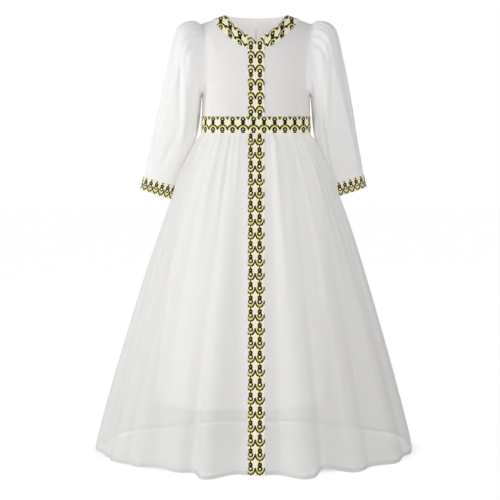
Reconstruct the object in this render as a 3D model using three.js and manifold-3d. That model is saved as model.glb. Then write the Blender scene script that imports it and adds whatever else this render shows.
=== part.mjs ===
// A girl's abaya dress in white chiffon: a fitted bodice with a V neck, gathered puff sleeves, a full
// gathered skirt over a plain lining, and a woven band at the neck, front, waist and cuffs.
// It keeps the hollow, filled-out shape in which it is worn.
// Millimetres. +Z is up, the front faces -Y, and the origin is level with the high points of the neck,
// halfway between the shoulders, where the wearer carries the dress.
import * as THREE from "three";
import { mergeVertices } from "three/addons/utils/BufferGeometryUtils.js";
import Module from "manifold-3d";

const wasm = await Module();
wasm.setup();

// ---------- driving sizes ----------
const CLOTH = 1; // wall of every cloth panel, turnings and gathers included
const BAND = 1; // thickness of the woven band
const TAPE = 0.8; // thickness of the zip tape and of the neck binding
const SEAM = 0.3; // gap between pieces that are sewn edge to edge
const LIFT = 0.3; // gap under what lies on a panel
const CURVED_LIFT = 0.6; // the same gap where band and panel are faceted in different places
const ARMHOLE_GAP = 0.4; // how far the sleeve head stands off the armhole
const NORMAL_STEP = 0.002; // share of a panel over which its slope is measured
const CUT_DEPTH = 12; // depth of a cut that goes right through any wall

const WAIST_SEAM = -276; // bodice meets skirt
const BAND_WIDTH = 38.5; // width of the woven band on the waist and the front
const WAIST_BAND_TOP = WAIST_SEAM + BAND_WIDTH + 0.5;
const HALF_BAND = BAND_WIDTH / 2;
const HEM = -1038;
const LINING_HEM = -921;
const SKIRT_LEVELS = [-290, -325, -390, -480, -600, -750, -900]; // rings of the skirt below the seam
const TAPE_LEVELS = 3; // the zip tape goes down past this many of them
const ROUND_FROM = -110; // height from which the chest and back round over to the shoulder seam

const NECK_HALF = 71; // high point of the neck, measured from the centre
const SHOULDER_HALF = 131; // tip of the shoulder seam
const SHOULDER_TIP = -21;
const UNDERARM = -190;
const NECK_RISE = 25; // height over the neck of the unseen curve that joins the two shoulders
const TORSO_POWER = 2.4; // superellipse exponents: 2 is an ellipse, more is squarer
const SLEEVE_POWER = 2.2;

const TAPE_HALF = 11; // half the width of the closed zip tape

// Body of the dress at each height: half its width, and its depth in front of and behind the seams.
const TORSO = [
  { z: -276, half: 129, front: 75, back: 75 },
  { z: -237, half: 128, front: 74, back: 75 },
  { z: -190, half: 128, front: 80, back: 80 },
  { z: -150, half: 131, front: 84, back: 86 },
  { z: -110, half: 135, front: 84, back: 90 },
  { z: -60, half: 139, front: 80, back: 92 },
  { z: -20, half: 142, front: 75, back: 92 },
  { z: 10, half: 143, front: 70, back: 92 },
];

// Armhole seen from the front: how far the seam is from the centre at each height.
const ARMHOLE = [
  { z: -190, x: 128 },
  { z: -186, x: 124.5 },
  { z: -176, x: 120.5 },
  { z: -150, x: 118 },
  { z: -110, x: 118.5 },
  { z: -66, x: 121.5 },
  { z: -38, x: 126 },
  { z: -21, x: 131 },
];

// Height of the neck edge at each distance from the centre, in front and behind.
const FRONT_NECK = [
  { x: 0, z: -65 },
  { x: 12, z: -54.5 },
  { x: 25, z: -45 },
  { x: 39, z: -35.5 },
  { x: 57, z: -19 },
  { x: 71, z: 0 },
];
const BACK_NECK = [
  { x: 0, z: -4 },
  { x: 40, z: -3.2 },
  { x: 60, z: -1.6 },
  { x: 71, z: 0 },
];

// Outer edge of the neck band, from the shoulder seam to the front band.
const NECK_BAND_EDGE = [
  { along: 0, x: 102, z: -10.9 },
  { along: 0.35, x: 84, z: -33 },
  { along: 0.7, x: 52, z: -62 },
  { along: 1, x: 19.55, z: -82 },
];

// Sleeve rings from the armhole to the wrist. The inner and outer ends are seen from the front;
// depth is half the ring's thickness from front to back, and y its centre.
const SLEEVE = [
  { innerX: 128, innerZ: -190, outerX: 131, outerZ: -21, depth: 46, y: 0 },
  { innerX: 129, innerZ: -192, outerX: 142, outerZ: -14.5, depth: 50, y: 0 },
  { innerX: 129.6, innerZ: -194.5, outerX: 159, outerZ: -13.5, depth: 54, y: 0 },
  { innerX: 130, innerZ: -197.5, outerX: 175, outerZ: -19, depth: 57, y: 0 },
  { innerX: 130.4, innerZ: -201, outerX: 187.5, outerZ: -31, depth: 58, y: 1 },
  { innerX: 130.9, innerZ: -206, outerX: 196, outerZ: -54, depth: 58, y: 2 },
  { innerX: 131.7, innerZ: -216, outerX: 203, outerZ: -86, depth: 57, y: 4 },
  { innerX: 133, innerZ: -232, outerX: 213, outerZ: -130, depth: 55, y: 8 },
  { innerX: 135, innerZ: -254, outerX: 223.5, outerZ: -180, depth: 51, y: 14 },
  { innerX: 140, innerZ: -284, outerX: 234, outerZ: -232, depth: 46, y: 25 },
  { innerX: 151, innerZ: -322, outerX: 244, outerZ: -286, depth: 40, y: 40 },
  { innerX: 167, innerZ: -364, outerX: 255.5, outerZ: -340, depth: 33, y: 53 },
  { innerX: 180.5, innerZ: -401, outerX: 263, outerZ: -378, depth: 27, y: 62 },
  { innerX: 189, innerZ: -433, outerX: 270.5, outerZ: -407, depth: 25, y: 67 },
];
const SLEEVE_ROWS = SLEEVE.map((ring, row) => ({ row, ...ring }));
const CUFF_ROW = 12; // the cuff band covers the sleeve from this ring down
const SHIFT_ROW = 7; // below this ring the wrist may be held further out or lower
const WRIST_SHIFT = { right: { x: 10, z: -7 }, left: { x: -2, z: -2 } }; // how each wrist is held

// Gathers of the sleeve head. Turn runs round the ring: 0 is its top, a quarter is its front. Reach is
// the row where the gather has run out, and it starts to fade at HEAD_HOLD of that.
const HEAD_HOLD = 0.4;
const HEAD_GATHERS = [
  { turn: 0.044, width: 0.018, height: 3.0, reach: 5.5 },
  { turn: 0.11, width: 0.024, height: 4.0, reach: 8 },
  { turn: 0.204, width: 0.028, height: 3.4, reach: 7 },
  { turn: 0.317, width: 0.03, height: 3.2, reach: 8.5 },
  { turn: 0.683, width: 0.03, height: 2.8, reach: 8 },
  { turn: 0.796, width: 0.028, height: 3.6, reach: 7.5 },
  { turn: 0.89, width: 0.024, height: 3.8, reach: 7 },
  { turn: 0.956, width: 0.018, height: 2.8, reach: 5 },
];

// Skirt before its folds: half its width and depth at each height, and its superellipse exponent.
const SKIRT = [
  { z: -276, half: 129, front: 75, back: 75, power: 2.4 },
  { z: -284, half: 132, front: 79, back: 79, power: 2.35 },
  { z: -308, half: 146, front: 90, back: 90, power: 2.3 },
  { z: -341, half: 164, front: 100, back: 100, power: 2.2 },
  { z: -379, half: 182.5, front: 111, back: 111, power: 2.15 },
  { z: -437, half: 204, front: 126, back: 126, power: 2.1 },
  { z: -533, half: 238, front: 151, back: 151, power: 2.05 },
  { z: -649, half: 275, front: 182, back: 182, power: 2 },
  { z: -766, half: 310, front: 213, back: 213, power: 2 },
  { z: -883, half: 343.5, front: 243, back: 243, power: 2 },
  { z: -1001, half: 375, front: 272, back: 272, power: 2 },
  { z: -1038, half: 382, front: 281, back: 281, power: 2 },
];

// Folds of the skirt. At is the angle round the hem: 0 is the front, +90 the wearer's left side, 180 the
// back. Height stands out at the hem, rise and fall are the widths of the flanks before and after the
// crest, from is where the fold starts, and drop is how much lower it carries the hem.
const SKIRT_FOLDS = [
  { at: -165, height: 15, rise: 10, fall: 6, from: -330, drop: 1 },
  { at: -145, height: -10, rise: 7, fall: 7, from: -400, drop: 0 },
  { at: -125, height: 17, rise: 6, fall: 12, from: -360, drop: 1 },
  { at: -100, height: -10, rise: 7, fall: 6, from: -430, drop: 0 },
  { at: -84, height: 7, rise: 8, fall: 8, from: -560, drop: -3 },
  { at: -60, height: 13, rise: 4, fall: 10, from: -470, drop: -5 },
  { at: -40, height: -7, rise: 8, fall: 8, from: -480, drop: -1 },
  { at: -20, height: 20, rise: 5, fall: 10, from: -440, drop: 4 },
  { at: 10, height: -7, rise: 5, fall: 6, from: -480, drop: 0 },
  { at: 20, height: 15, rise: 9, fall: 5, from: -420, drop: 3 },
  { at: 30, height: -13, rise: 5, fall: 5, from: -400, drop: 0 },
  { at: 40, height: 12, rise: 6, fall: 9, from: -380, drop: 0 },
  { at: 60, height: -8, rise: 8, fall: 8, from: -450, drop: 0 },
  { at: 84, height: -4, rise: 8, fall: 8, from: -500, drop: 1 },
  { at: 100, height: -9, rise: 7, fall: 8, from: -400, drop: 0 },
  { at: 120, height: 18, rise: 12, fall: 6, from: -350, drop: 1 },
  { at: 145, height: -11, rise: 8, fall: 7, from: -420, drop: 0 },
  { at: 165, height: 14, rise: 6, fall: 9, from: -340, drop: 1 },
];
const FOLD_GROWTH = 1.3; // a fold grows towards the hem as this power of its depth below its start
const GATHER_STEP = 5; // degrees between the crest and the trough of the gathers at the waist
const GATHER_HEIGHT = 1.6;
const GATHERS = { full: 12, fading: 30, gone: 154 }; // millimetres below the waist seam

// Skirt lining: a plain A-line slip. Lean is how far it hangs to the wearer's left (+).
const LINING = [
  { z: -276, half: 127.4, front: 73.4, back: 72.3, power: 2.4, lean: 0 },
  { z: -330, half: 140, front: 79, back: 79, power: 2.3, lean: -2 },
  { z: -437, half: 166, front: 92, back: 92, power: 2.2, lean: -9 },
  { z: -580, half: 183, front: 105, back: 105, power: 2.1, lean: -18 },
  { z: -760, half: 196, front: 114, back: 114, power: 2.1, lean: -30 },
  { z: -921, half: 207, front: 120, back: 120, power: 2.1, lean: -40 },
];
const LINING_FOLDS = [
  { at: -150, height: 9, rise: 10, fall: 12, from: -450, drop: 1 },
  { at: -110, height: -8, rise: 12, fall: 10, from: -500, drop: 0 },
  { at: -60, height: -7, rise: 12, fall: 12, from: -480, drop: -1 },
  { at: -25, height: 8, rise: 12, fall: 10, from: -460, drop: 3 },
  { at: 25, height: 6, rise: 12, fall: 12, from: -470, drop: 0 },
  { at: 65, height: -7, rise: 10, fall: 12, from: -500, drop: 0 },
  { at: 115, height: 8, rise: 12, fall: 12, from: -450, drop: 1 },
  { at: 150, height: -8, rise: 10, fall: 12, from: -480, drop: 0 },
];

// Zip slider and pull tab, at the top of the centre-back seam.
const SLIDER = {
  rows: [0.91, 0.96], // it sits between these rows of the back,
  share: 0.38, // this far up
  plate: 6.4,
  long: 9,
  thick: 1.6,
  neck: 1.6,
  neckLong: 6,
  foot: 4.8,
  footLong: 5,
  footThick: 0.8,
};
const PIN = { radius: 0.5, bore: 0.8, knuckle: 1.6, cheek: 1, cheekTop: 1.2, inside: 1.4 };
const TAB = { long: 22, top: 2.2, neckLong: 3, wide: 5.6, thick: 1.2, hole: 1.3 };

// ---------- materials ----------
const finish = (color, roughness, metalness = 0) => () =>
  new THREE.MeshStandardMaterial({ color, roughness, metalness });
const chiffon = finish(0xf3f1ee, 0.85);
const bodiceCloth = finish(0xf5f3f1, 0.8);
const liningCloth = finish(0xfaf9f7, 0.6);
const wovenBand = finish(0xcfc27e, 0.7);
const tapeCloth = finish(0xf0eeeb, 0.8);
const paintedMetal = finish(0xefeeea, 0.35, 0.3);

// ---------- small tools ----------
const degrees = THREE.MathUtils.radToDeg;
const { lerp, clamp, smoothstep } = THREE.MathUtils;

/** A column of a table at any value of its key column, on a smooth curve through the rows. */
function read(table, key, at, column) {
  const sign = Math.sign(table[1][key] - table[0][key]);
  const k = table.findIndex((row) => (row[key] - at) * sign >= 0);
  if (k < 0) return table[table.length - 1][column];
  if (k === 0) return table[0][column];
  const slope = (i) => {
    const before = table[Math.max(i - 1, 0)];
    const after = table[Math.min(i + 1, table.length - 1)];
    return (after[column] - before[column]) / (after[key] - before[key]);
  };
  const [low, high] = [table[k - 1], table[k]];
  const span = high[key] - low[key];
  const t = (at - low[key]) / span;
  const [t2, t3] = [t * t, t * t * t];
  return (
    (2 * t3 - 3 * t2 + 1) * low[column] +
    (t3 - 2 * t2 + t) * span * slope(k - 1) +
    (3 * t2 - 2 * t3) * high[column] +
    (t3 - t2) * span * slope(k)
  );
}

/** Values from first to last in equal steps. */
const steps = (first, last, count) =>
  Array.from({ length: count + 1 }, (_, i) => lerp(first, last, i / count));

/** Outward unit normal of the surface at a column and row, from two short steps that stay inside it. */
function normalOf(surface, column, row, columns, rows) {
  const nudge = (value, list) => {
    const [low, high] = [Math.min(...list), Math.max(...list)];
    const step = NORMAL_STEP * (high - low);
    return value + step > high ? -step : step;
  };
  const [du, dv] = [nudge(column, columns), nudge(row, rows)];
  const here = surface(column, row);
  const across = surface(column + du, row).sub(here).divideScalar(du);
  const down = surface(column, row + dv).sub(here).divideScalar(dv);
  return across.cross(down).normalize();
}

/** A closed wall on a surface: its outer face lies `out` beyond the surface, and it is `thick` thick.
 *  Turned is -1 where columns and rows run so that their cross product points into the dress. */
function wall(surface, columns, rows, { out = 0, thick = CLOTH, closed = false, turned = 1 } = {}) {
  const [nc, nr] = [columns.length, rows.length];
  const positions = [];
  for (const depth of [out, out - thick])
    for (const column of columns)
      for (const row of rows) {
        const normal = normalOf(surface, column, row, columns, rows).multiplyScalar(turned);
        positions.push(...surface(column, row).addScaledVector(normal, depth).toArray());
      }
  const outer = (i, j) => (i % nc) * nr + j;
  const inner = (i, j) => nc * nr + outer(i, j);
  const faces = [];
  const quad = (a, b, c, d) => {
    if (turned > 0) faces.push(a, b, c, a, c, d);
    else faces.push(b, a, c, c, a, d);
  };
  const across = closed ? nc : nc - 1;
  for (let i = 0; i < across; i++) {
    for (let j = 0; j < nr - 1; j++) {
      quad(outer(i, j), outer(i + 1, j), outer(i + 1, j + 1), outer(i, j + 1));
      quad(inner(i, j), inner(i, j + 1), inner(i + 1, j + 1), inner(i + 1, j));
    }
    quad(outer(i, 0), inner(i, 0), inner(i + 1, 0), outer(i + 1, 0));
    quad(outer(i, nr - 1), outer(i + 1, nr - 1), inner(i + 1, nr - 1), inner(i, nr - 1));
  }
  if (!closed)
    for (let j = 0; j < nr - 1; j++) {
      quad(outer(0, j), outer(0, j + 1), inner(0, j + 1), inner(0, j));
      quad(outer(nc - 1, j), inner(nc - 1, j), inner(nc - 1, j + 1), outer(nc - 1, j + 1));
    }
  return new THREE.BufferGeometry()
    .setAttribute("position", new THREE.Float32BufferAttribute(positions, 3))
    .setIndex(faces);
}

/** A geometry as a solid that can be joined and cut. */
function toSolid(geometry) {
  const bare = geometry.clone().deleteAttribute("normal").deleteAttribute("uv");
  const merged = mergeVertices(bare, 1e-4);
  return new wasm.Manifold(
    new wasm.Mesh({
      numProp: 3,
      vertProperties: new Float32Array(merged.attributes.position.array),
      triVerts: new Uint32Array(merged.index.array),
    }),
  );
}

/** A joined or cut solid as a geometry. */
function toGeometry(solid) {
  const { vertProperties, triVerts } = solid.getMesh();
  return new THREE.BufferGeometry()
    .setAttribute("position", new THREE.Float32BufferAttribute(vertProperties, 3))
    .setIndex([...triVerts]);
}

const box = (x, y, z, cx, cy, cz) => new THREE.BoxGeometry(x, y, z).translate(cx, cy, cz);

const dress = new THREE.Group();
function piece(name, geometry, material) {
  const mesh = new THREE.Mesh(geometry, material);
  mesh.name = name;
  dress.add(mesh);
  return mesh;
}

// ---------- body of the dress ----------
const SHOULDER_SLOPE = SHOULDER_TIP / (SHOULDER_HALF - NECK_HALF);
/** Height of the shoulder seam at a distance from the centre, and inside the neck of the smooth curve
 *  that carries it on to the other shoulder. */
function shoulderLine(x) {
  if (x >= NECK_HALF) return SHOULDER_SLOPE * (x - NECK_HALF);
  const t = x / NECK_HALF;
  return NECK_RISE * (2 * t ** 3 - 3 * t ** 2 + 1) + SHOULDER_SLOPE * NECK_HALF * (t ** 3 - t ** 2);
}

/** Point of the body. Side is -1 in front and 1 behind, angle runs from the centre to the side seam. */
function bodyPoint(side, angle, z) {
  const half = read(TORSO, "z", z, "half");
  const depth = read(TORSO, "z", z, side < 0 ? "front" : "back");
  const x = half * Math.abs(Math.sin(angle)) ** (2 / TORSO_POWER);
  const rising = clamp((z - ROUND_FROM) / (shoulderLine(x) - ROUND_FROM), 0, 1);
  const y = depth * Math.abs(Math.cos(angle)) ** (2 / TORSO_POWER) * Math.sqrt(1 - rising * rising);
  return new THREE.Vector3(Math.sign(angle) * x, side * (y + SEAM / 2), z);
}

/** Angle at which the body is x wide at height z. */
const angleOf = (x, z) => Math.asin(clamp(x / read(TORSO, "z", z, "half"), 0, 1) ** (TORSO_POWER / 2));

/** Angle of the panel's outer edge: the side seam, and above the underarm the armhole. */
const edgeAngle = (z) =>
  z <= UNDERARM ? Math.PI / 2 : angleOf(read(ARMHOLE, "z", Math.min(z, SHOULDER_TIP), "x"), z);

/** Top of a bodice panel at a distance from the centre: the neck edge, then the shoulder seam. */
const panelTop = (neck, x) => (x < NECK_HALF ? read(neck, "x", x, "z") : shoulderLine(x));

/** Surface of a bodice panel. A column is named by its distance from the centre at the panel's top, and
 *  within `straight` of the centre it runs plumb. Row -1 is the waist seam, 0 the top of the waist band
 *  and 1 the neck or shoulder. */
function bodiceSurface(side, neck, straight) {
  return (column, row) => {
    const x = Math.abs(column);
    const top = panelTop(neck, x);
    const z = row < 0 ? lerp(WAIST_BAND_TOP, WAIST_SEAM, -row) : lerp(WAIST_BAND_TOP, top, row);
    let angle;
    if (x <= straight) angle = angleOf(x, z);
    else {
      const share = (angleOf(x, top) - angleOf(straight, top)) / (edgeAngle(top) - angleOf(straight, top));
      angle = lerp(angleOf(straight, z), edgeAngle(z), share);
    }
    return bodyPoint(side, column < 0 ? -angle : angle, z);
  };
}

const UNDERARM_ROW = (UNDERARM - WAIST_BAND_TOP) / (SHOULDER_TIP - WAIST_BAND_TOP);
const ARMHOLE_ROWS = [UNDERARM_ROW, 0.245, 0.285, 0.34, 0.45, 0.58, 0.72, 0.83, 0.91, 0.96, 0.985, 1];
const BODICE_ROWS = [-1, 0, ...ARMHOLE_ROWS];
const WAIST_ROWS = [-0.98, -0.01];
const BINDING_ROWS = [0.96, 0.985, 1];
const ZIP_TOP_ROW = 0.955; // the tape ends just under the binding
const NECK_BAND_STEPS = [0, 0.02, 0.06, 0.12, 0.2, 0.3, 0.42, 0.54, 0.66, 0.78, 0.9, 1];
const FRONT_COLUMNS = [HALF_BAND, 34, 49, 61, 71, 88, 110, 131];
const frontColumns = [...FRONT_COLUMNS.map((x) => -x).reverse(), 0, ...FRONT_COLUMNS];
const backColumns = [0, TAPE_HALF, 30, 48, 62, 71, 88, 110, 131];

const front = bodiceSurface(-1, FRONT_NECK, HALF_BAND);
const back = bodiceSurface(1, BACK_NECK, TAPE_HALF);
/** Half of the back, moved off the centre-back seam. Hand is -1 on the wearer's right, 1 on the left. */
const backHalf = (hand) => (column, row) => {
  const p = back(column, row);
  p.x = hand * (p.x + SEAM / 2);
  return p;
};

piece("bodice_front", wall(front, frontColumns, BODICE_ROWS), bodiceCloth());

// The bands and the seams on the back turn with the hand, because it mirrors the panel.
const hands = [
  { name: "right", sign: -1 },
  { name: "left", sign: 1 },
];

/** Surface whose columns are a list of lines, each a function of the row. */
function strip(lines) {
  return (column, row) => {
    const k = clamp(Math.floor(column), 0, lines.length - 2);
    return lines[k](row).lerp(lines[k + 1](row), column - k);
  };
}
strip.columns = (lines) => lines.map((_, k) => k);

// ---------- zip slider's place on the centre-back seam ----------
const [sliderLow, sliderHigh] = SLIDER.rows.map((row) => back(0, row));
const seamTilt = Math.atan2(sliderLow.y - sliderHigh.y, sliderHigh.z - sliderLow.z);
const sliderAt = sliderLow.clone().lerp(sliderHigh, SLIDER.share);
/** A geometry made round the slider, with y out of the cloth and 0 on its face, set on the back seam. */
const onSeam = (geometry) => geometry.rotateX(seamTilt).translate(0, sliderAt.y, sliderAt.z);

// ---------- back of the bodice, with the notch that the slider's neck passes through ----------
const notch = toSolid(onSeam(box(SLIDER.neck + 2 * SEAM, CUT_DEPTH, SLIDER.neckLong + 2 * SEAM, 0, 0, 0)));
for (const { name, sign } of hands) {
  const panel = toSolid(wall(backHalf(sign), backColumns, BODICE_ROWS, { turned: -sign }));
  piece(`bodice_back_${name}`, toGeometry(panel.subtract(notch)), bodiceCloth());
  // Binding of the back neck: it lies inside, on the panel's last rows.
  const neckColumns = backColumns.filter((x) => x < NECK_HALF);
  const binding = wall(backHalf(sign), neckColumns, BINDING_ROWS, {
    out: -CLOTH - LIFT,
    thick: TAPE,
    turned: -sign,
  });
  piece(`neck_binding_${name}`, binding, tapeCloth());
}

// ---------- woven band ----------
const onPanel = { out: LIFT + BAND, thick: BAND };

// One strip round the waist, with its two ends at the centre back.
const roundWaist = [
  ...backColumns.map((x) => backHalf(-1).bind(null, x)),
  ...frontColumns.map((x) => front.bind(null, x)),
  ...backColumns.map((x) => backHalf(1).bind(null, x)).reverse(),
];
piece("waist_band", wall(strip(roundWaist), strip.columns(roundWaist), WAIST_ROWS, onPanel), wovenBand());

const bandColumns = [-HALF_BAND, 0, HALF_BAND];
const frontBandRows = BODICE_ROWS.filter((row) => row >= 0);
piece("front_band_bodice", wall(front, bandColumns, frontBandRows, onPanel), wovenBand());

/** Neck band on the wearer's right or left: `along` runs from the shoulder seam to the front band, and
 *  `across` from the neck edge outwards. */
const neckBand = (sign) => (along, across) => {
  const innerX = lerp(NECK_HALF, HALF_BAND + SEAM, along);
  const x = lerp(innerX, read(NECK_BAND_EDGE, "along", along, "x"), across);
  const edgeZ = read(NECK_BAND_EDGE, "along", along, "z");
  const z = lerp(read(FRONT_NECK, "x", innerX, "z"), edgeZ, across);
  return bodyPoint(-1, sign * angleOf(x, z), z);
};
for (const { name, sign } of hands) {
  const band = wall(neckBand(sign), NECK_BAND_STEPS, steps(0, 1, 3), {
    out: CURVED_LIFT + BAND,
    thick: BAND,
    turned: sign,
  });
  piece(`neck_band_${name}`, band, wovenBand());
}

// ---------- sleeves ----------
/** Cosine and sine of a turn, squared up to the sleeve's superellipse. */
const squared = (value) => Math.sign(value) * Math.abs(value) ** (2 / SLEEVE_POWER);

const ARMHOLE_MIDDLE = (SHOULDER_TIP + UNDERARM) / 2;
const ARMHOLE_REACH = (SHOULDER_TIP - UNDERARM) / 2;
/** The armhole seam, a seam's width off the bodice. Turn 0 is the shoulder tip, a quarter the front. */
function armhole(turn) {
  const [up, forward] = [Math.cos(turn * 2 * Math.PI), Math.sin(turn * 2 * Math.PI)];
  const z = ARMHOLE_MIDDLE + ARMHOLE_REACH * up;
  const p = bodyPoint(forward >= 0 ? -1 : 1, edgeAngle(z), z);
  return p.add(new THREE.Vector3(1, forward, -up).setLength(ARMHOLE_GAP));
}

/** Sleeve surface: turn runs round it, and row down it along the rings of the table. */
const sleeve = (sign, shift) => (turn, row) => {
  const at = (column) => read(SLEEVE_ROWS, "row", Math.max(row, 1), column);
  const [cos, sin] = [Math.cos(turn * 2 * Math.PI), Math.sin(turn * 2 * Math.PI)];
  const outer = new THREE.Vector3(at("outerX"), at("y"), at("outerZ"));
  const inner = new THREE.Vector3(at("innerX"), at("y"), at("innerZ"));
  const reachOut = outer.clone().sub(inner).divideScalar(2);
  const p = inner
    .add(reachOut)
    .addScaledVector(reachOut, squared(cos))
    .add(new THREE.Vector3(0, -at("depth") * squared(sin), 0));
  const outward = reachOut.clone().normalize().multiplyScalar(cos).add(new THREE.Vector3(0, -sin, 0));
  p.addScaledVector(outward, headGather(turn, row));
  if (row < 1) p.lerp(armhole(turn), 1 - row);
  const shifted = smoothstep(row, SHIFT_ROW, SLEEVE.length - 1);
  p.set(sign * (p.x + shift.x * shifted), p.y, p.z + shift.z * shifted);
  return p;
};

/** How far the gathers of the sleeve head stand out. */
function headGather(turn, row) {
  let height = 0;
  for (const g of HEAD_GATHERS) {
    const fade = smoothstep(row, 0, 1) * (1 - smoothstep(row, HEAD_HOLD * g.reach, g.reach));
    height += g.height * fade * Math.exp(-(((turn - g.turn) / g.width) ** 2));
  }
  return height;
}

// The sleeve's columns start at the corners of the armhole, from the shoulder tip round to the underarm.
const frontTurns = ARMHOLE_ROWS.map((row) => {
  const z = lerp(WAIST_BAND_TOP, SHOULDER_TIP, row);
  return Math.acos(clamp((z - ARMHOLE_MIDDLE) / ARMHOLE_REACH, -1, 1)) / (2 * Math.PI);
}).reverse();
const turns = [...frontTurns, ...frontTurns.slice(1, -1).map((turn) => 1 - turn).reverse()];

for (const { name, sign } of hands) {
  const surface = sleeve(sign, WRIST_SHIFT[name]);
  const rows = SLEEVE.map((_, row) => row);
  piece(`sleeve_${name}`, wall(surface, turns, rows, { closed: true, turned: sign }), chiffon());
  const cuff = wall(surface, turns, rows.slice(CUFF_ROW), { ...onPanel, closed: true, turned: sign });
  piece(`cuff_band_${name}`, cuff, wovenBand());
}

// ---------- skirt and lining ----------
/** Share of a fold's height at an angle round the hem. */
function foldShape(fold, angle) {
  const away = THREE.MathUtils.euclideanModulo(angle - fold.at + 180, 360) - 180;
  return Math.exp(-((away / (away < 0 ? fold.rise : fold.fall)) ** 2));
}

/** Turn round a skirt ring, in radians, at which the ring is x from the centre line. */
const turnOf = (x, ring) => Math.asin((x / ring.half) ** (ring.power / 2));

/** The same at the hem, in degrees: half the angle over which the columns run plumb. */
const plumbAngle = (x, table) => degrees(turnOf(x, table[table.length - 1]));

/** A skirt as a surface of angle round the hem and row, 0 at the waist seam and 1 at the hem.
 *  Within `plumb` of the centre front or back its columns run straight down. */
function skirtSurface({ table, folds, hem, plumb, gathered, leans }) {
  const top = WAIST_SEAM - SEAM;
  return (side) => (angle, row) => {
    const fromCentre = side < 0 ? Math.abs(angle) : 180 - Math.abs(angle);
    const straight = side < 0 ? plumb.front : plumb.back;
    const held = plumbAngle(straight, table);
    const drop = folds.reduce((sum, fold) => sum + fold.drop * foldShape(fold, angle), 0);
    const z = lerp(top, hem - drop, row);
    const at = (column) => read(table, "z", z, column);
    const [half, depth, power] = [at("half"), at(side < 0 ? "front" : "back"), at("power")];
    const ring = { half, power };
    const turn =
      fromCentre < held
        ? turnOf((fromCentre / held) * straight, ring)
        : lerp(turnOf(straight, ring), Math.PI / 2, (fromCentre - held) / (90 - held));
    const x = half * Math.sin(turn) ** (2 / power);
    const y = depth * Math.abs(Math.cos(turn)) ** (2 / power);
    const outward = new THREE.Vector3(x / half ** 2, y / depth ** 2, 0).normalize();
    let height = 0;
    for (const fold of folds) {
      const grown = clamp((fold.from - z) / (fold.from - hem), 0, 1) ** FOLD_GROWTH;
      height += fold.height * grown * foldShape(fold, angle);
    }
    if (gathered) height += gatherHeight(angle, fromCentre, z);
    const p = new THREE.Vector3(x, y, z).addScaledVector(outward, height);
    return p.set(Math.sign(angle) * p.x + (leans ? at("lean") : 0), side * (p.y + SEAM / 2), z);
  };
}

/** Gathers of the skirt: alternate columns stand out below the waist seam, and fade downwards. */
function gatherHeight(angle, fromCentre, z) {
  const wave = (1 - Math.cos((angle / GATHER_STEP) * Math.PI)) / 2;
  const below = WAIST_SEAM - z;
  const down = smoothstep(below, 0, GATHERS.full) * (1 - smoothstep(below, GATHERS.fading, GATHERS.gone));
  return GATHER_HEIGHT * wave * down * smoothstep(fromCentre, 0.8 * GATHER_STEP, 2 * GATHER_STEP);
}

const skirt = skirtSurface({
  table: SKIRT,
  folds: SKIRT_FOLDS,
  hem: HEM,
  plumb: { front: HALF_BAND, back: TAPE_HALF },
  gathered: true,
  leans: false,
});
const lining = skirtSurface({
  table: LINING,
  folds: LINING_FOLDS,
  hem: LINING_HEM,
  plumb: { front: 0, back: 0 },
  gathered: false,
  leans: true,
});
/** Moves half of a back off the centre-back seam. */
const offCentre = (surface, sign) => (angle, row) => {
  const p = surface(1)(angle, row);
  p.x += (sign * SEAM) / 2;
  return p;
};

const skirtRow = (z) => (z - WAIST_SEAM + SEAM) / (HEM - WAIST_SEAM + SEAM);
const skirtRows = [0, ...SKIRT_LEVELS.map(skirtRow), 1];
const heldFront = plumbAngle(HALF_BAND, SKIRT);
const heldBack = plumbAngle(TAPE_HALF, SKIRT);
const quarter = steps(GATHER_STEP, 90, 90 / GATHER_STEP - 1);
const skirtFrontAngles = [...quarter.map((a) => -a).reverse(), -heldFront, 0, heldFront, ...quarter];
const skirtBackAngles = [...quarter.map((a) => 180 - a).reverse(), 180 - heldBack, 180];
const inward = { turned: -1 }; // angle and row both run so that their product points into the skirt
piece("skirt_front", wall(skirt(-1), skirtFrontAngles, skirtRows, inward), chiffon());
const skirtBand = wall(skirt(-1), [-heldFront, 0, heldFront], skirtRows, { ...onPanel, ...inward });
piece("front_band_skirt", skirtBand, wovenBand());

const LINING_ROWS = [0, 0.1, 0.4, 0.7, 1];
const upwards = (a, b) => a - b;
piece("lining_front", wall(lining(-1), steps(-90, 90, 18), LINING_ROWS, inward), liningCloth());
for (const { name, sign } of hands) {
  const skirtAngles = skirtBackAngles.map((angle) => sign * angle).sort(upwards);
  piece(`skirt_back_${name}`, wall(offCentre(skirt, sign), skirtAngles, skirtRows, inward), chiffon());
  const angles = steps(90, 180, 9).map((angle) => sign * angle).sort(upwards);
  piece(`lining_back_${name}`, wall(offCentre(lining, sign), angles, LINING_ROWS, inward), liningCloth());
}

// ---------- zip ----------
/** A line down the middle of the back: rows from -1 up lie on the bodice, those below on the skirt. */
const zipLine = (sign, x) => (row) =>
  row >= -1
    ? backHalf(sign)(x, row)
    : offCentre(skirt, sign)(sign * (180 - (x / TAPE_HALF) * heldBack), -1 - row);
const zipLines = [zipLine(-1, TAPE_HALF), zipLine(-1, 0), zipLine(1, 0), zipLine(1, TAPE_HALF)];
const zipRows = [
  ...skirtRows.slice(1, TAPE_LEVELS + 1).map((row) => -1 - row).reverse(),
  ...BODICE_ROWS.filter((row) => row < ZIP_TOP_ROW),
  ZIP_TOP_ROW,
];
const zipTape = toSolid(
  wall(strip(zipLines), strip.columns(zipLines), zipRows, { out: -CLOTH - LIFT, thick: TAPE, turned: -1 }),
);
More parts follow.
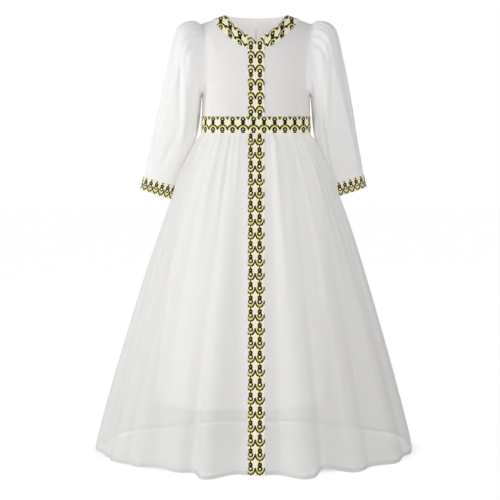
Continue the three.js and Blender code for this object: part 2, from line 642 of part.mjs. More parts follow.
// The tape is open above the slider, down to a seam's width under the slider's plate.
const plateRoom = toSolid(
  onSeam(
    box(
      SLIDER.plate + 2 * SEAM,
      CUT_DEPTH,
      SLIDER.long + CUT_DEPTH,
      0,
      CLOTH - CUT_DEPTH / 2,
      CUT_DEPTH / 2 - SEAM,
    ),
  ),
);
piece("zip_tape", toGeometry(zipTape.subtract(plateRoom)), tapeCloth());

const pinOut = LIFT + SLIDER.footThick + SEAM + PIN.knuckle; // the pin's distance from the cloth
const joined = (parts) => parts.map(toSolid).reduce((sum, part) => sum.add(part));
const cylinder = (radius, length) =>
  new THREE.CylinderGeometry(radius, radius, length, 16).rotateZ(Math.PI / 2);

function zipSlider() {
  const plateMiddle = -CLOTH - LIFT - SLIDER.thick / 2;
  const footMiddle = LIFT + SLIDER.footThick / 2;
  const cheekHeight = pinOut + PIN.cheekTop - LIFT - SLIDER.footThick / 2;
  const cheekMiddle = pinOut + PIN.cheekTop - cheekHeight / 2;
  const cheekX = PIN.inside + PIN.cheek / 2;
  return joined([
    box(SLIDER.plate, SLIDER.thick, SLIDER.long, 0, plateMiddle, 0),
    box(SLIDER.neck, footMiddle - plateMiddle, SLIDER.neckLong, 0, (footMiddle + plateMiddle) / 2, 0),
    box(SLIDER.foot, SLIDER.footThick, SLIDER.footLong, 0, footMiddle, 0),
    box(PIN.cheek, cheekHeight, 2 * PIN.knuckle, -cheekX, cheekMiddle, 0),
    box(PIN.cheek, cheekHeight, 2 * PIN.knuckle, cheekX, cheekMiddle, 0),
    cylinder(PIN.radius, 2 * PIN.inside + PIN.cheek).translate(0, pinOut, 0),
  ]);
}

function zipPull() {
  const [neck, wide] = [TAB.top / 2, TAB.wide / 2];
  const outline = new THREE.Shape()
    .moveTo(-neck, 0)
    .lineTo(-neck, -TAB.neckLong)
    .quadraticCurveTo(-neck, -TAB.long / 2, -wide, wide - TAB.long)
    .absarc(0, wide - TAB.long, wide, Math.PI, 2 * Math.PI, false)
    .quadraticCurveTo(neck, -TAB.long / 2, neck, -TAB.neckLong)
    .lineTo(neck, 0);
  outline.holes.push(new THREE.Path().absarc(0, wide - TAB.long, TAB.hole, 0, 2 * Math.PI, true));
  const flat = { depth: TAB.thick, bevelEnabled: false, curveSegments: 6 };
  const blade = new THREE.ExtrudeGeometry(outline, flat)
    .rotateX(Math.PI / 2)
    .translate(0, TAB.thick / 2, 0);
  const solid = toSolid(blade).add(toSolid(cylinder(PIN.knuckle, TAB.top)));
  return toGeometry(solid.subtract(toSolid(cylinder(PIN.bore, 2 * TAB.top)))).translate(0, pinOut, 0);
}

piece("zip_slider", onSeam(toGeometry(zipSlider())), paintedMetal());
piece("zip_pull", onSeam(zipPull()), paintedMetal());

export default dress;
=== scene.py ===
"""A girl's abaya dress in white chiffon with woven bands, made round its construction frame.

Every piece of cloth is a surface of two parameters, worked out for a whole grid at once: the bodice is a
rounded box that closes over at the shoulders, each sleeve is a chain of rings from the armhole to the
wrist, and the skirt and its lining are rings that widen from the waist. Folds, gathers and creases stand
out along the rings' outward direction, and bands, stitches and turnings are made from the points of the
cloth that they lie on. Sizes are in millimetres until a mesh is made, +Z is up and the front faces -Y.
"""
import math

import bpy
import numpy as np
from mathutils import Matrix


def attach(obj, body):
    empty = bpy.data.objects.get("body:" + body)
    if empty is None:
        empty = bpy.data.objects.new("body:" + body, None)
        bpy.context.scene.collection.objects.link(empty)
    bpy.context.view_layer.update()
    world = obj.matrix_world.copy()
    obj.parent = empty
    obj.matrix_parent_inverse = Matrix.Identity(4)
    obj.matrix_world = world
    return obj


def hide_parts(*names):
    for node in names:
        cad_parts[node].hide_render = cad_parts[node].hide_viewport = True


bl_info = {
    "name": "Gathered Abaya Dress",
    "version": (1, 0, 0),
    "blender": (4, 5, 0),
    "location": "View3D > Sidebar > Abaya",
    "description": "Makes a girl's chiffon abaya dress with woven bands, and the studio round it",
    "category": "Object",
}

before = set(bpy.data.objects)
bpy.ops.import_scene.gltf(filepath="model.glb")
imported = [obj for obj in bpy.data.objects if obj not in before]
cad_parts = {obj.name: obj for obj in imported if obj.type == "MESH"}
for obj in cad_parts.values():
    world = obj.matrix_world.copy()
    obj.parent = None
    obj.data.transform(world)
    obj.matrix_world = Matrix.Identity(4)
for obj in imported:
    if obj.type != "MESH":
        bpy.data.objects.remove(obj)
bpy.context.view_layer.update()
BODY = "dress"
MM = 0.001


def table(names, *rows):
    """A short table, as one array for each named column. Its first column is put in rising order."""
    values = np.array(rows, float)
    if values[0, 0] > values[-1, 0]:
        values = values[::-1]
    return dict(zip(names.split(), values.T))


def rows_of(names, *rows):
    """The same kind of table, as one dictionary for each row."""
    return [dict(zip(names.split(), row)) for row in rows]


# ---------- sizes of the cut, in millimetres ----------
SEAM = 0.3  # gap between pieces that are sewn edge to edge
LIFT = 0.3  # gap under what lies on a panel
CURVED_LIFT = 0.6
BAND_THICK = 1.0
WAIST_SEAM = -276.0
BAND_WIDTH = 38.5
WAIST_BAND_TOP = WAIST_SEAM + BAND_WIDTH + 0.5
HALF_BAND = BAND_WIDTH / 2
HEM = -1038.0
LINING_HEM = -921.0
ROUND_FROM = -110.0
NECK_HALF = 71.0
SHOULDER_HALF = 131.0
SHOULDER_TIP = -21.0
UNDERARM = -190.0
UNDERARM_CURVE = 15.0  # height over which the side seam curves into the armhole
NECK_RISE = 25.0
SHOULDER_SLOPE = SHOULDER_TIP / (SHOULDER_HALF - NECK_HALF)
TORSO_POWER = 2.4
SLEEVE_POWER = 2.2
TAPE_HALF = 11.0
ARMHOLE_GAP = -1.0
RING_STROKE = 0.34  # lines that draw the bands' rings, as a share of half a column
ARCH_LINE = 0.155  # half the width of the arches' lines, as the same share
BINDING_THICK = 0.8  # the back neck's binding, and the zip's tape
HEM_THICK = 0.6
STITCH_LIFT = 0.1
HEM_GAP = 0.25  # between a skirt and its turned hem
STITCH_WIDTH, STITCH_HEIGHT = 0.45, 0.3
TOOTH = (1.7, 0.9, 0.8)
TOOTH_PITCH = 1.6
TOOTH_FROM_SEAM = 1.3  # from the centre back to the middle of a tooth
TAPE_FROM, TAPE_TO = -1.42, 0.905  # rows of the back: below the waist seam at -1, and just under the slider

TORSO = table(
    "z half front back",
    (-276, 129, 75, 75),
    (-237, 128, 74, 75),
    (-190, 128, 80, 80),
    (-150, 131, 84, 86),
    (-110, 135, 84, 90),
    (-60, 139, 80, 92),
    (-20, 142, 75, 92),
    (10, 143, 70, 92),
)
ARMHOLE = table(
    "z x",
    (-190, 128),
    (-186, 124.5),
    (-176, 120.5),
    (-150, 118),
    (-110, 118.5),
    (-66, 121.5),
    (-38, 126),
    (-21, 131),
)
FRONT_NECK = table("x z", (0, -65), (12, -54.5), (25, -45), (39, -35.5), (57, -19), (71, 0))
BACK_NECK = table("x z", (0, -4), (40, -3.2), (60, -1.6), (71, 0))
NECK_BAND_EDGE = table("along x z", (0, 102, -10.9), (0.35, 84, -33), (0.7, 52, -62), (1, 19.55, -82))

# Sleeve rings from the armhole to the wrist: the inner and outer ends, half the depth, and the middle.
SLEEVE = table(
    "row inner_x inner_z outer_x outer_z depth y",
    (0, 128, -190, 131, -21, 46, 0),
    (1, 129, -192, 142, -14.5, 50, 0),
    (2, 129.6, -194.5, 159, -13.5, 54, 0),
    (3, 130, -197.5, 175, -19, 57, 0),
    (4, 130.4, -201, 187.5, -31, 58, 1),
    (5, 130.9, -206, 196, -54, 58, 2),
    (6, 131.7, -216, 203, -86, 57, 4),
    (7, 133, -232, 213, -130, 55, 8),
    (8, 135, -254, 223.5, -180, 51, 14),
    (9, 140, -284, 234, -232, 46, 25),
    (10, 151, -322, 244, -286, 40, 40),
    (11, 167, -364, 255.5, -340, 33, 53),
    (12, 180.5, -401, 263, -378, 27, 62),
    (13, 189, -433, 270.5, -407, 25, 67),
)
LAST_RING = 13
CUFF_RING = 12
SHIFT_RING = 7
WRIST_SHIFT = {"right": (10.0, -7.0), "left": (-2.0, -2.0)}

HEAD_HOLD = 0.4  # share of a gather's reach over which it keeps its height
HEAD_SWEEP = 0.014  # how much of a turn a gather slides for each ring
HEAD_GATHERS = rows_of(
    "turn width height reach",
    (0.044, 0.018, 3.7, 5.5),
    (0.11, 0.024, 4.9, 8),
    (0.204, 0.028, 4.2, 7),
    (0.317, 0.03, 3.9, 8.5),
    (0.683, 0.03, 3.5, 8),
    (0.796, 0.028, 4.4, 7.5),
    (0.89, 0.024, 4.6, 7),
    (0.956, 0.018, 3.5, 5),
)
# Finer gathers between those, and soft creases that run down the sleeve on a slant.
FINE_HEAD_GATHERS = rows_of(
    "turn width height reach",
    (0.02, 0.009, 2.2, 3.5),
    (0.075, 0.011, 3, 5),
    (0.152, 0.012, 3.2, 6),
    (0.178, 0.009, -2.2, 5),
    (0.238, 0.012, 2.7, 5.5),
    (0.268, 0.01, -1.9, 5),
    (0.93, 0.01, 2.4, 4.5),
    (0.848, 0.012, 3, 6),
    (0.75, 0.012, 2.7, 5.5),
)
SLEEVE_CREASES = rows_of(
    "turn row slant width long height",
    (0.09, 7.2, 0.006, 0.025, 2.8, -4.4),
    (0.16, 8.4, -0.012, 0.024, 2.6, 3.7),
    (0.22, 6.6, 0.02, 0.019, 1.8, -4.8),
    (0.29, 8, 0.016, 0.022, 2.2, 4.1),
    (0.35, 9.6, 0.012, 0.02, 1.8, -4.4),
    (0.42, 8.6, 0.02, 0.019, 1.5, 3.4),
    (0.24, 10.6, -0.02, 0.022, 1.2, -3.1),
    (0.12, 10.2, 0.01, 0.025, 1.4, 2.7),
    (0.58, 8.8, -0.016, 0.024, 2, -4.1),
    (0.66, 7.4, 0.014, 0.025, 2.4, 4.1),
    (0.76, 9.2, -0.01, 0.022, 2.2, -4.1),
    (0.85, 8, 0.008, 0.025, 2.6, 3.4),
    (0.94, 9.4, 0, 0.025, 2.4, -3.1),
)

SKIRT = table(
    "z half front back power",
    (-276, 129, 75, 75, 2.4),
    (-284, 132, 79, 79, 2.35),
    (-308, 146, 90, 90, 2.3),
    (-341, 164, 100, 100, 2.2),
    (-379, 182.5, 111, 111, 2.15),
    (-437, 204, 126, 126, 2.1),
    (-533, 238, 151, 151, 2.05),
    (-649, 275, 182, 182, 2),
    (-766, 310, 213, 213, 2),
    (-883, 343.5, 243, 243, 2),
    (-1001, 375, 272, 272, 2),
    (-1038, 382, 281, 281, 2),
)
# Main folds: angle round the hem (0 front, +90 the wearer's left), height at the hem, width of the flank
# before and after the crest, where the fold starts, and how much lower it carries the hem.
SKIRT_FOLDS = rows_of(
    "at height rise fall start drop",
    (-165, 15, 10, 6, -330, 1),
    (-145, -10, 7, 7, -400, 0),
    (-125, 17, 6, 12, -360, 1),
    (-100, -10, 7, 6, -430, 0),
    (-84, 8, 8, 8, -520, -3),
    (-74, -6, 5, 5, -420, 0),
    (-62.6, -8, 3, 1.5, -760, 0),
    (-59, 17, 2.4, 9, -400, -4),
    (-50, -5, 1.7, 3, -700, 0),
    (-46, 5, 4, 5, -340, 0),
    (-37, -11, 6, 6, -420, -2),
    (-28, 5, 4, 4, -520, 0),
    (-22.2, -8, 3, 1.5, -620, 0),
    (-17.5, 25, 2.8, 7.5, -380, 6),
    (-12, -4, 1.6, 3, -760, 0),
    (-7, -13, 4, 4, -330, -1),
    (7.5, -12, 4, 4, -380, 0),
    (16.5, 21, 6.5, 5.5, -380, 6),
    (22.4, -8, 1.6, 3, -600, -1),
    (25, -19, 2.4, 4.5, -400, -6),
    (35, 14, 4, 8, -380, 2),
    (43, -6, 3, 1.7, -680, 0),
    (46, -7, 4, 4, -360, 0),
    (56, 9, 4, 7, -440, 1),
    (68, -8, 5, 5, -430, 0),
    (84, -4, 8, 8, -500, 1),
    (100, -9, 7, 8, -400, 0),
    (120, 18, 12, 6, -350, 1),
    (145, -11, 8, 7, -420, 0),
    (165, 14, 6, 9, -340, 1),
)
FOLD_GROWTH = 0.72  # power of a fold's growth from its start to the hem; under 1 it stands out early
# Gathers below the waist: where, how far they stand out, their width in degrees, and where they run out.
GATHERS = rows_of(
    "at height width gone",
    (-85.9, 2.6, 2.5, -420),
    (-81.1, 5.2, 1.9, -494),
    (-70.8, 2.4, 1.8, -380),
    (-66.5, 3.5, 3.9, -600),
    (-60.9, 1.7, 1.4, -408),
    (-54.8, 2.7, 2, -520),
    (-45.4, 1.1, 2.4, -390),
    (-42.7, 2.6, 3.6, -640),
    (-39.3, 1.7, 1.9, -450),
    (-32.1, 1, 2.2, -532),
    (-27.5, 1.8, 2.2, -380),
    (-22.4, 3.3, 2.2, -600),
    (-17.8, 2.7, 2.2, -430),
    (-11, 3.1, 1.4, -475),
    (-7, 0.5, 1.6, -414),
    (6.5, 1, 1.6, -425),
    (11, 4.2, 2.3, -520),
    (14.3, 1, 2.5, -420),
    (20.7, 2.4, 3.5, -620),
    (27.7, 1.1, 2.2, -492),
    (33.4, 3.9, 2.2, -540),
    (40.2, 1.6, 1.3, -400),
    (42.5, 1.6, 1.8, -627),
    (48.8, 1.4, 2, -450),
    (56.2, 2.4, 2.3, -560),
    (62.1, 1.1, 2.2, -389),
    (69.9, 2.5, 3, -570),
    (74.9, 3.1, 2.2, -440),
    (81.8, 1.6, 1.6, -560),
    # The rest are longer, and run far down the skirt.
    (-68, 4.5, 3.4, -980),
    (-50, -3.6, 2.6, -860),
    (-33, 5, 3.2, -1020),
    (-20, -4.6, 2.4, -900),
    (12.5, 4.6, 2.4, -900),
    (30, -5.6, 3, -980),
    (48, 5, 3.6, -1000),
    (61, -3.8, 2.8, -880),
    (73, 4.5, 3.5, -960),
)
GATHER_FULL = 14.0  # the gathers are full this far below the seam

LINING = table(
    "z half front back power lean",
    (-276, 127.4, 73.4, 72.3, 2.4, 0),
    (-330, 140, 79, 79, 2.3, -2),
    (-437, 166, 92, 92, 2.2, -9),
    (-580, 183, 105, 105, 2.1, -18),
    (-760, 196, 114, 114, 2.1, -30),
    (-921, 207, 120, 120, 2.1, -40),
)
LINING_FOLDS = rows_of(
    "at height rise fall start drop",
    (-150, 9, 10, 12, -450, 1),
    (-110, -8, 12, 10, -500, 0),
    (-60, -7, 12, 12, -480, -1),
    (-25, 8, 12, 10, -460, 3),
    (25, 6, 12, 12, -470, 0),
    (65, -7, 10, 12, -500, 0),
    (115, 8, 12, 12, -450, 1),
    (150, -8, 10, 12, -480, 0),
)

# Soft creases of the bodice, as ridges (+) and troughs (-) between two points of a panel seen flat.
BODICE_CREASES = rows_of(
    "x0 z0 x1 z1 width height",
    (112, -150, 84, -118, 9, 1.6),
    (116, -172, 88, -150, 8, -1.8),
    (118, -186, 92, -186, 9, 1.4),
    (104, -60, 92, -100, 8, 1.0),
    (64, -236, 70, -200, 9, 1.1),
    (96, -236, 98, -205, 9, -1.2),
    (30, -236, 34, -206, 8, -0.8),
)


# ---------- shapes ----------
def through(cut, column, at):
    """A column of a table at any value of its first column. Between two rows the curve is a cubic whose
    slope at each row is that of the chord between its neighbours."""
    xs, ys = next(iter(cut.values())), cut[column]
    last = len(xs) - 1
    here = np.arange(last + 1)
    before, after = np.maximum(here - 1, 0), np.minimum(here + 1, last)
    slopes = (ys[after] - ys[before]) / (xs[after] - xs[before])
    at = np.clip(at, xs[0], xs[-1])
    k = np.clip(np.searchsorted(xs, at, side="right") - 1, 0, last - 1)
    span = xs[k + 1] - xs[k]
    t = (at - xs[k]) / span
    return (
        (2 * t**3 - 3 * t**2 + 1) * ys[k]
        + (t**3 - 2 * t**2 + t) * span * slopes[k]
        + (3 * t**2 - 2 * t**3) * ys[k + 1]
        + (t**3 - t**2) * span * slopes[k + 1]
    )


def lerp(low, high, share):
    return low + (high - low) * share


def smoothstep(value, low, high):
    """0 at or below low, 1 at or above high, and an S between them."""
    t = np.clip((value - low) / (high - low), 0, 1)
    return t * t * (3 - 2 * t)


def grid(columns, rows):
    """The columns and rows of a grid, as two arrays of its size."""
    return np.meshgrid(np.asarray(columns, float), np.asarray(rows, float), indexing="ij")


def shoulder_line(x):
    """Height of the shoulder seam: a straight slope outside the neck, and inside it a cubic that carries
    the slope on to a level top over the centre."""
    t = np.minimum(x / NECK_HALF, 1)
    inside = NECK_RISE * (2 * t**3 - 3 * t**2 + 1) + SHOULDER_SLOPE * NECK_HALF * (t**3 - t**2)
    return np.where(x < NECK_HALF, inside, SHOULDER_SLOPE * (x - NECK_HALF))


def body_point(side, angle, z):
    """Point of the body: x is half the width times the sine of the angle and y the depth times its cosine,
    each to the power that squares the ring up. Above the chest the depth shrinks as a quarter circle, and
    is nothing at the shoulder line. Side is -1 in front and 1 behind."""
    half, depth = through(TORSO, "half", z), through(TORSO, "front" if side < 0 else "back", z)
    x = half * np.abs(np.sin(angle)) ** (2 / TORSO_POWER)
    rising = np.clip((z - ROUND_FROM) / (shoulder_line(x) - ROUND_FROM), 0, 1)
    y = depth * np.abs(np.cos(angle)) ** (2 / TORSO_POWER) * np.sqrt(1 - rising**2)
    return np.stack([np.sign(angle) * x, side * (y + SEAM / 2), z + 0 * x], axis=-1)


def angle_of(x, z):
    """Angle at which the body is x wide at height z."""
    return np.arcsin(np.clip(x / through(TORSO, "half", z), 0, 1) ** (TORSO_POWER / 2))


def edge_angle(z):
    """Angle of a panel's outer edge: the side seam, and above the underarm the armhole, which the edge
    curves into over a short way."""
    armhole = angle_of(through(ARMHOLE, "x", np.minimum(z, SHOULDER_TIP)), z)
    return lerp(np.pi / 2, armhole, smoothstep(z, UNDERARM, UNDERARM + UNDERARM_CURVE))


def bodice(side, neck, straight, column, row):
    """Surface of a bodice panel. A column is named by its distance from the centre at the panel's top, and
    within `straight` of the centre it runs plumb; further out it keeps its share of the angle between
    there and the panel's edge. Row -1 is the waist seam, 0 the top of the waist band, 1 the neck or
    shoulder."""
    x = np.abs(column)
    top = np.where(x < NECK_HALF, through(neck, "z", x), shoulder_line(x))
    z = np.where(row < 0, lerp(WAIST_BAND_TOP, WAIST_SEAM, -row), lerp(WAIST_BAND_TOP, top, row))
    inner_top = angle_of(straight, top)
    share = (angle_of(x, top) - inner_top) / (edge_angle(top) - inner_top)
    angle = np.where(x <= straight, angle_of(x, z), lerp(angle_of(straight, z), edge_angle(z), share))
    points = body_point(side, np.where(column < 0, -angle, angle), z)
    points[..., 1] += side * bodice_creases(side, points)
    return points


def bodice_creases(side, points):
    """Height of the bodice's creases: for each, a bell across the line between its two ends, which fades
    towards them. The back has the same creases, shallower."""
    x, z = np.abs(points[..., 0]), points[..., 2]
    height = np.zeros_like(x)
    for c in BODICE_CREASES:
        along = np.array([c["x1"] - c["x0"], c["z1"] - c["z0"]])
        length = np.hypot(*along)
        dx, dz = x - c["x0"], z - c["z0"]
        down = (dx * along[0] + dz * along[1]) / length
        off = (dx * along[1] - dz * along[0]) / length
        fade = np.exp(-(((down - length / 2) / (0.6 * length)) ** 2))
        height += c["height"] * fade * np.exp(-((off / c["width"]) ** 2))
    clear = smoothstep(x, HALF_BAND + 4, HALF_BAND + 22) * smoothstep(z, WAIST_BAND_TOP, WAIST_BAND_TOP + 8)
    return height * clear * (1 if side < 0 else 0.7)


def front_panel(column, row):
    """The whole front of the bodice, with its V neck."""
    return bodice(-1, FRONT_NECK, HALF_BAND, column, row)


def back_panel(hand, column, row):
    """Half of the back, moved off the centre-back seam. Hand is -1 on the wearer's right, 1 on the left."""
    points = bodice(1, BACK_NECK, TAPE_HALF, column, row)
    points[..., 0] = hand * (points[..., 0] + SEAM / 2)
    return points


def neck_band(hand, along, across):
    """Neck band: along runs from the shoulder seam to the front band, across from the neck edge out."""
    inner_x = lerp(NECK_HALF, HALF_BAND + SEAM, along)
    x = lerp(inner_x, through(NECK_BAND_EDGE, "x", along), across)
    z = lerp(through(FRONT_NECK, "z", inner_x), through(NECK_BAND_EDGE, "z", along), across)
    points = body_point(-1, hand * angle_of(x, z), z)
    points[..., 1] -= bodice_creases(-1, points)
    return points


def armhole(turn):
    """The armhole seam, a little off the bodice. Turn 0 is the shoulder tip and a quarter the front."""
    up, forward = np.cos(2 * np.pi * turn), np.sin(2 * np.pi * turn)
    z = (SHOULDER_TIP + UNDERARM) / 2 + (SHOULDER_TIP - UNDERARM) / 2 * up
    angle = edge_angle(z)
    points = np.where((forward >= 0)[..., None], body_point(-1, angle, z), body_point(1, angle, z))
    off = np.stack([np.ones_like(up), forward, -up], axis=-1)
    return points + ARMHOLE_GAP * off / np.linalg.norm(off, axis=-1, keepdims=True)


def squared(value):
    """A cosine or sine, to the power that squares a sleeve ring up."""
    return np.sign(value) * np.abs(value) ** (2 / SLEEVE_POWER)


def head_gathers(gathers, turn, row):
    """Height of gathers: a bell round the ring for each, which grows over the first ring and then fades.
    Each gather slides down towards the underarm as it leaves the armhole."""
    height = np.zeros_like(turn)
    for g in gathers:
        slide = HEAD_SWEEP * row * (1 if g["turn"] < 0.5 else -1)
        fade = smoothstep(row, 0, 1) * (1 - smoothstep(row, HEAD_HOLD * g["reach"], g["reach"]))
        height += g["height"] * fade * np.exp(-(((turn - g["turn"] - slide) / g["width"]) ** 2))
    return height


def sleeve_creases(turn, row):
    """Height of the creases: a bell across a slanted line round the ring, and a bell along it."""
    height = np.zeros_like(turn)
    for c in SLEEVE_CREASES:
        away = (turn - c["turn"] - c["slant"] * (row - c["row"]) + 0.5) % 1 - 0.5
        along = np.exp(-(((row - c["row"]) / c["long"]) ** 2))
        height += c["height"] * along * np.exp(-((away / c["width"]) ** 2))
    return height * smoothstep(LAST_RING - row, 1, 3)


def sleeve(name, turn, row):
    """Sleeve surface: each ring is a squared-up ellipse between its inner and outer ends, the gathers and
    creases stand out from it, and above the first ring it is drawn in to the armhole."""
    hand = -1 if name == "right" else 1
    at = {column: through(SLEEVE, column, np.maximum(row, 1)) for column in SLEEVE if column != "row"}
    cos, sin = np.cos(2 * np.pi * turn), np.sin(2 * np.pi * turn)
    reach = np.stack([at["outer_x"] - at["inner_x"], 0 * turn, at["outer_z"] - at["inner_z"]], axis=-1) / 2
    middle = [(at["outer_x"] + at["inner_x"]) / 2, at["y"], (at["outer_z"] + at["inner_z"]) / 2]
    points = np.stack(middle, axis=-1) + reach * squared(cos)[..., None]
    points[..., 1] -= at["depth"] * squared(sin)
    outward = reach / np.linalg.norm(reach, axis=-1, keepdims=True) * cos[..., None]
    outward[..., 1] -= sin
    height = head_gathers(HEAD_GATHERS, turn, row) + head_gathers(FINE_HEAD_GATHERS, turn, row)
    points = points + outward * (height + sleeve_creases(turn, row))[..., None]
    points = lerp(armhole(turn), points, np.minimum(row, 1)[..., None])
    shifted = smoothstep(row, SHIFT_RING, LAST_RING)
    out, up = WRIST_SHIFT[name]
    points[..., 0] = hand * (points[..., 0] + out * shifted)
    points[..., 2] += up * shifted
    return points


def fold_shape(fold, angle):
    """Share of a fold's height at an angle round the hem: a bell with its own width on each flank."""
    away = (angle - fold["at"] + 180) % 360 - 180
    return np.exp(-((away / np.where(away < 0, fold["rise"], fold["fall"])) ** 2))


def turn_of(x, half, power):
    """Turn round a skirt ring at which the ring is x from the centre line."""
    return np.arcsin((x / half) ** (power / 2))


def plumb_angle(x, cut):
    """The same at the hem, in degrees: half the angle over which the columns run plumb."""
    return np.degrees(turn_of(x, cut["half"][0], cut["power"][0]))


def gathers(angle, z):
    """Height of the waist gathers: a bell round the skirt for each, full just below the seam and gone at
    its own height. The back has the same ones, mirrored from the front."""
    below = WAIST_SEAM - z
    folded = np.where(np.abs(angle) > 90, np.sign(angle) * 180 - angle, angle)
    height = np.zeros_like(angle)
    for g in GATHERS:
        gone = WAIST_SEAM - g["gone"]
        fade = smoothstep(below, 0, GATHER_FULL) * (1 - smoothstep(below, 0.25 * gone, gone))
        height += g["height"] * fade * np.exp(-(((folded - g["at"]) / g["width"]) ** 2))
    return height


def hanging(side, angle, row, cut, folds, hem, plumb, gathered):
    """A skirt as a surface of the angle round the hem and the row, 0 at the waist seam and 1 at the hem.
    Each ring is a squared-up ellipse; within `plumb` of the centre the columns run straight down. Folds
    stand out from the rings and grow towards the hem, and gathers stand out below the waist."""
    from_centre = np.abs(angle) if side < 0 else 180 - np.abs(angle)
    held = max(plumb_angle(plumb, cut), 1e-6)
    drop = sum(fold["drop"] * fold_shape(fold, angle) for fold in folds)
    z = lerp(WAIST_SEAM - SEAM, hem - drop, row)
    half, power = through(cut, "half", z), through(cut, "power", z)
    depth = through(cut, "front" if side < 0 else "back", z)
    inner = turn_of(plumb, half, power)
    turn = np.where(
        from_centre < held,
        turn_of(np.minimum(from_centre / held, 1) * plumb, half, power),
        lerp(inner, np.pi / 2, (from_centre - held) / (90 - held)),
    )
    x = half * np.abs(np.sin(turn)) ** (2 / power)
    y = depth * np.abs(np.cos(turn)) ** (2 / power)
    outward = np.stack([x / half**2, y / depth**2], axis=-1)
    outward /= np.linalg.norm(outward, axis=-1, keepdims=True)
    height = sum(
        fold["height"] * np.clip((fold["start"] - z) / (fold["start"] - hem), 0, 1) ** FOLD_GROWTH
        * fold_shape(fold, angle)
        for fold in folds
    )
    if gathered:
        height = height + gathers(angle, z)
    x, y = x + outward[..., 0] * height, y + outward[..., 1] * height
    lean = through(cut, "lean", z) if "lean" in cut else 0
    return np.stack([np.sign(angle) * x + lean, side * (y + SEAM / 2), z], axis=-1)


def skirt(side, angle, row):
    """The gathered skirt, plumb under the front band and over the zip's tape."""
    return hanging(side, angle, row, SKIRT, SKIRT_FOLDS, HEM, HALF_BAND if side < 0 else TAPE_HALF, True)


def lining(side, angle, row):
    """The lining: narrower and shorter than the skirt, and not gathered."""
    return hanging(side, angle, row, LINING, LINING_FOLDS, LINING_HEM, 0.0, False)


# ---------- meshes ----------
def normals_of(points, closed=False):
    """Unit normals of a grid: the cross product of its slopes along the columns and along the rows."""
    if closed:
        across = np.roll(points, -1, axis=0) - np.roll(points, 1, axis=0)
    else:
        across = np.gradient(points, axis=0)
    normals = np.cross(across, np.gradient(points, axis=1))
    return normals / np.maximum(np.linalg.norm(normals, axis=-1, keepdims=True), 1e-12)


def lengths(points, axis):
    """How far each column or row lies from the first, measured along the middle of the grid."""
    middle = np.take(points, points.shape[1 - axis] // 2, axis=1 - axis)
    strides = np.linalg.norm(np.diff(middle, axis=0), axis=-1)
    return np.concatenate([[0], np.cumsum(strides)])


def as_cut(points):
    """A piece's flat plan in millimetres: lengths along its middle column and middle row."""
    return np.stack(grid(lengths(points, 0), lengths(points, 1)), axis=-1)


def to_mesh(name, places, corners, plan):
    """A mesh object from places in millimetres, its quads and a flat plan in millimetres per corner."""
    mesh = bpy.data.meshes.new(name)
    mesh.vertices.add(len(places))
    mesh.vertices.foreach_set("co", (places * MM).astype(np.float32).ravel())
    mesh.loops.add(corners.size)
    mesh.loops.foreach_set("vertex_index", corners.astype(np.int32).ravel())
    mesh.polygons.add(len(corners))
    mesh.polygons.foreach_set("loop_start", np.arange(0, corners.size, corners.shape[1], dtype=np.int32))
    mesh.uv_layers.new(name="plan").data.foreach_set("uv", (plan * MM).astype(np.float32).ravel())
    mesh.update(calc_edges=True)
    mesh.validate()
    mesh.shade_smooth()
    mesh.set_sharp_from_angle(angle=math.radians(50))
    piece = bpy.data.objects.new(name, mesh)
    bpy.context.scene.collection.objects.link(piece)
    return piece


def finish_piece(piece, material, replaced=(), inner=None):
    """Gives a piece its material and slot, and lets it ride on the dress in place of its CAD nodes. With an
    inner material, every face but the outer skin takes that one."""
    outer_faces = piece.pop("outer_faces", 0)
    piece.data.materials.append(material)
    if inner:
        piece.data.materials.append(inner)
        within = np.arange(len(piece.data.polygons)) >= outer_faces
        piece.data.polygons.foreach_set("material_index", within.astype(np.int32))
    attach(piece, BODY)
    if replaced:
        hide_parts(*replaced)
    return piece


def wall(name, points, thick, out=0.0, turned=1, closed=False, plan=None):
    """A closed wall of cloth on a grid of points. Its outer skin lies `out` beyond them along the grid's
    normals and its inner skin `thick` further in, and quads join the two at the edges. Turned is -1 where
    the grid's normals point into the dress."""
    normals = turned * normals_of(points, closed)
    skins = np.stack([points + out * normals, points + (out - thick) * normals])
    numbers = np.arange(skins[..., 0].size).reshape(skins.shape[:3])
    if closed:
        numbers = np.concatenate([numbers, numbers[:, :1]], axis=1)
        points = np.concatenate([points, points[:1]])
    if plan is None:
        plan = as_cut(points)
    places = np.arange(numbers.size).reshape(numbers.shape)
    outer, inner = places

    def quads(*corners):
        return np.stack(corners, axis=-1).reshape(-1, 4)

    faces = [
        quads(outer[:-1, :-1], outer[1:, :-1], outer[1:, 1:], outer[:-1, 1:]),
        quads(inner[:-1, :-1], inner[:-1, 1:], inner[1:, 1:], inner[1:, :-1]),
        quads(outer[:-1, 0], inner[:-1, 0], inner[1:, 0], outer[1:, 0]),
        quads(outer[:-1, -1], outer[1:, -1], inner[1:, -1], inner[:-1, -1]),
    ]
    if not closed:
        faces += [
            quads(outer[0, :-1], outer[0, 1:], inner[0, 1:], inner[0, :-1]),
            quads(outer[-1, :-1], inner[-1, :-1], inner[-1, 1:], outer[-1, 1:]),
        ]
    faces = np.concatenate(faces)[:, ::turned]
    plans = np.stack([plan, plan]).reshape(-1, 2)[faces]
    piece = to_mesh(name, skins.reshape(-1, 3), numbers.ravel()[faces], plans)
    piece["outer_faces"] = outer[1:, 1:].size  # finish_piece takes this off again
    return piece


BLOCK = np.array([(x, y, z) for x in (-1, 1) for y in (-1, 1) for z in (-1, 1)], float) / 2
BLOCK_FACES = np.array([(0, 1, 3, 2), (4, 6, 7, 5), (0, 4, 5, 1), (2, 3, 7, 6), (0, 2, 6, 4), (1, 5, 7, 3)])


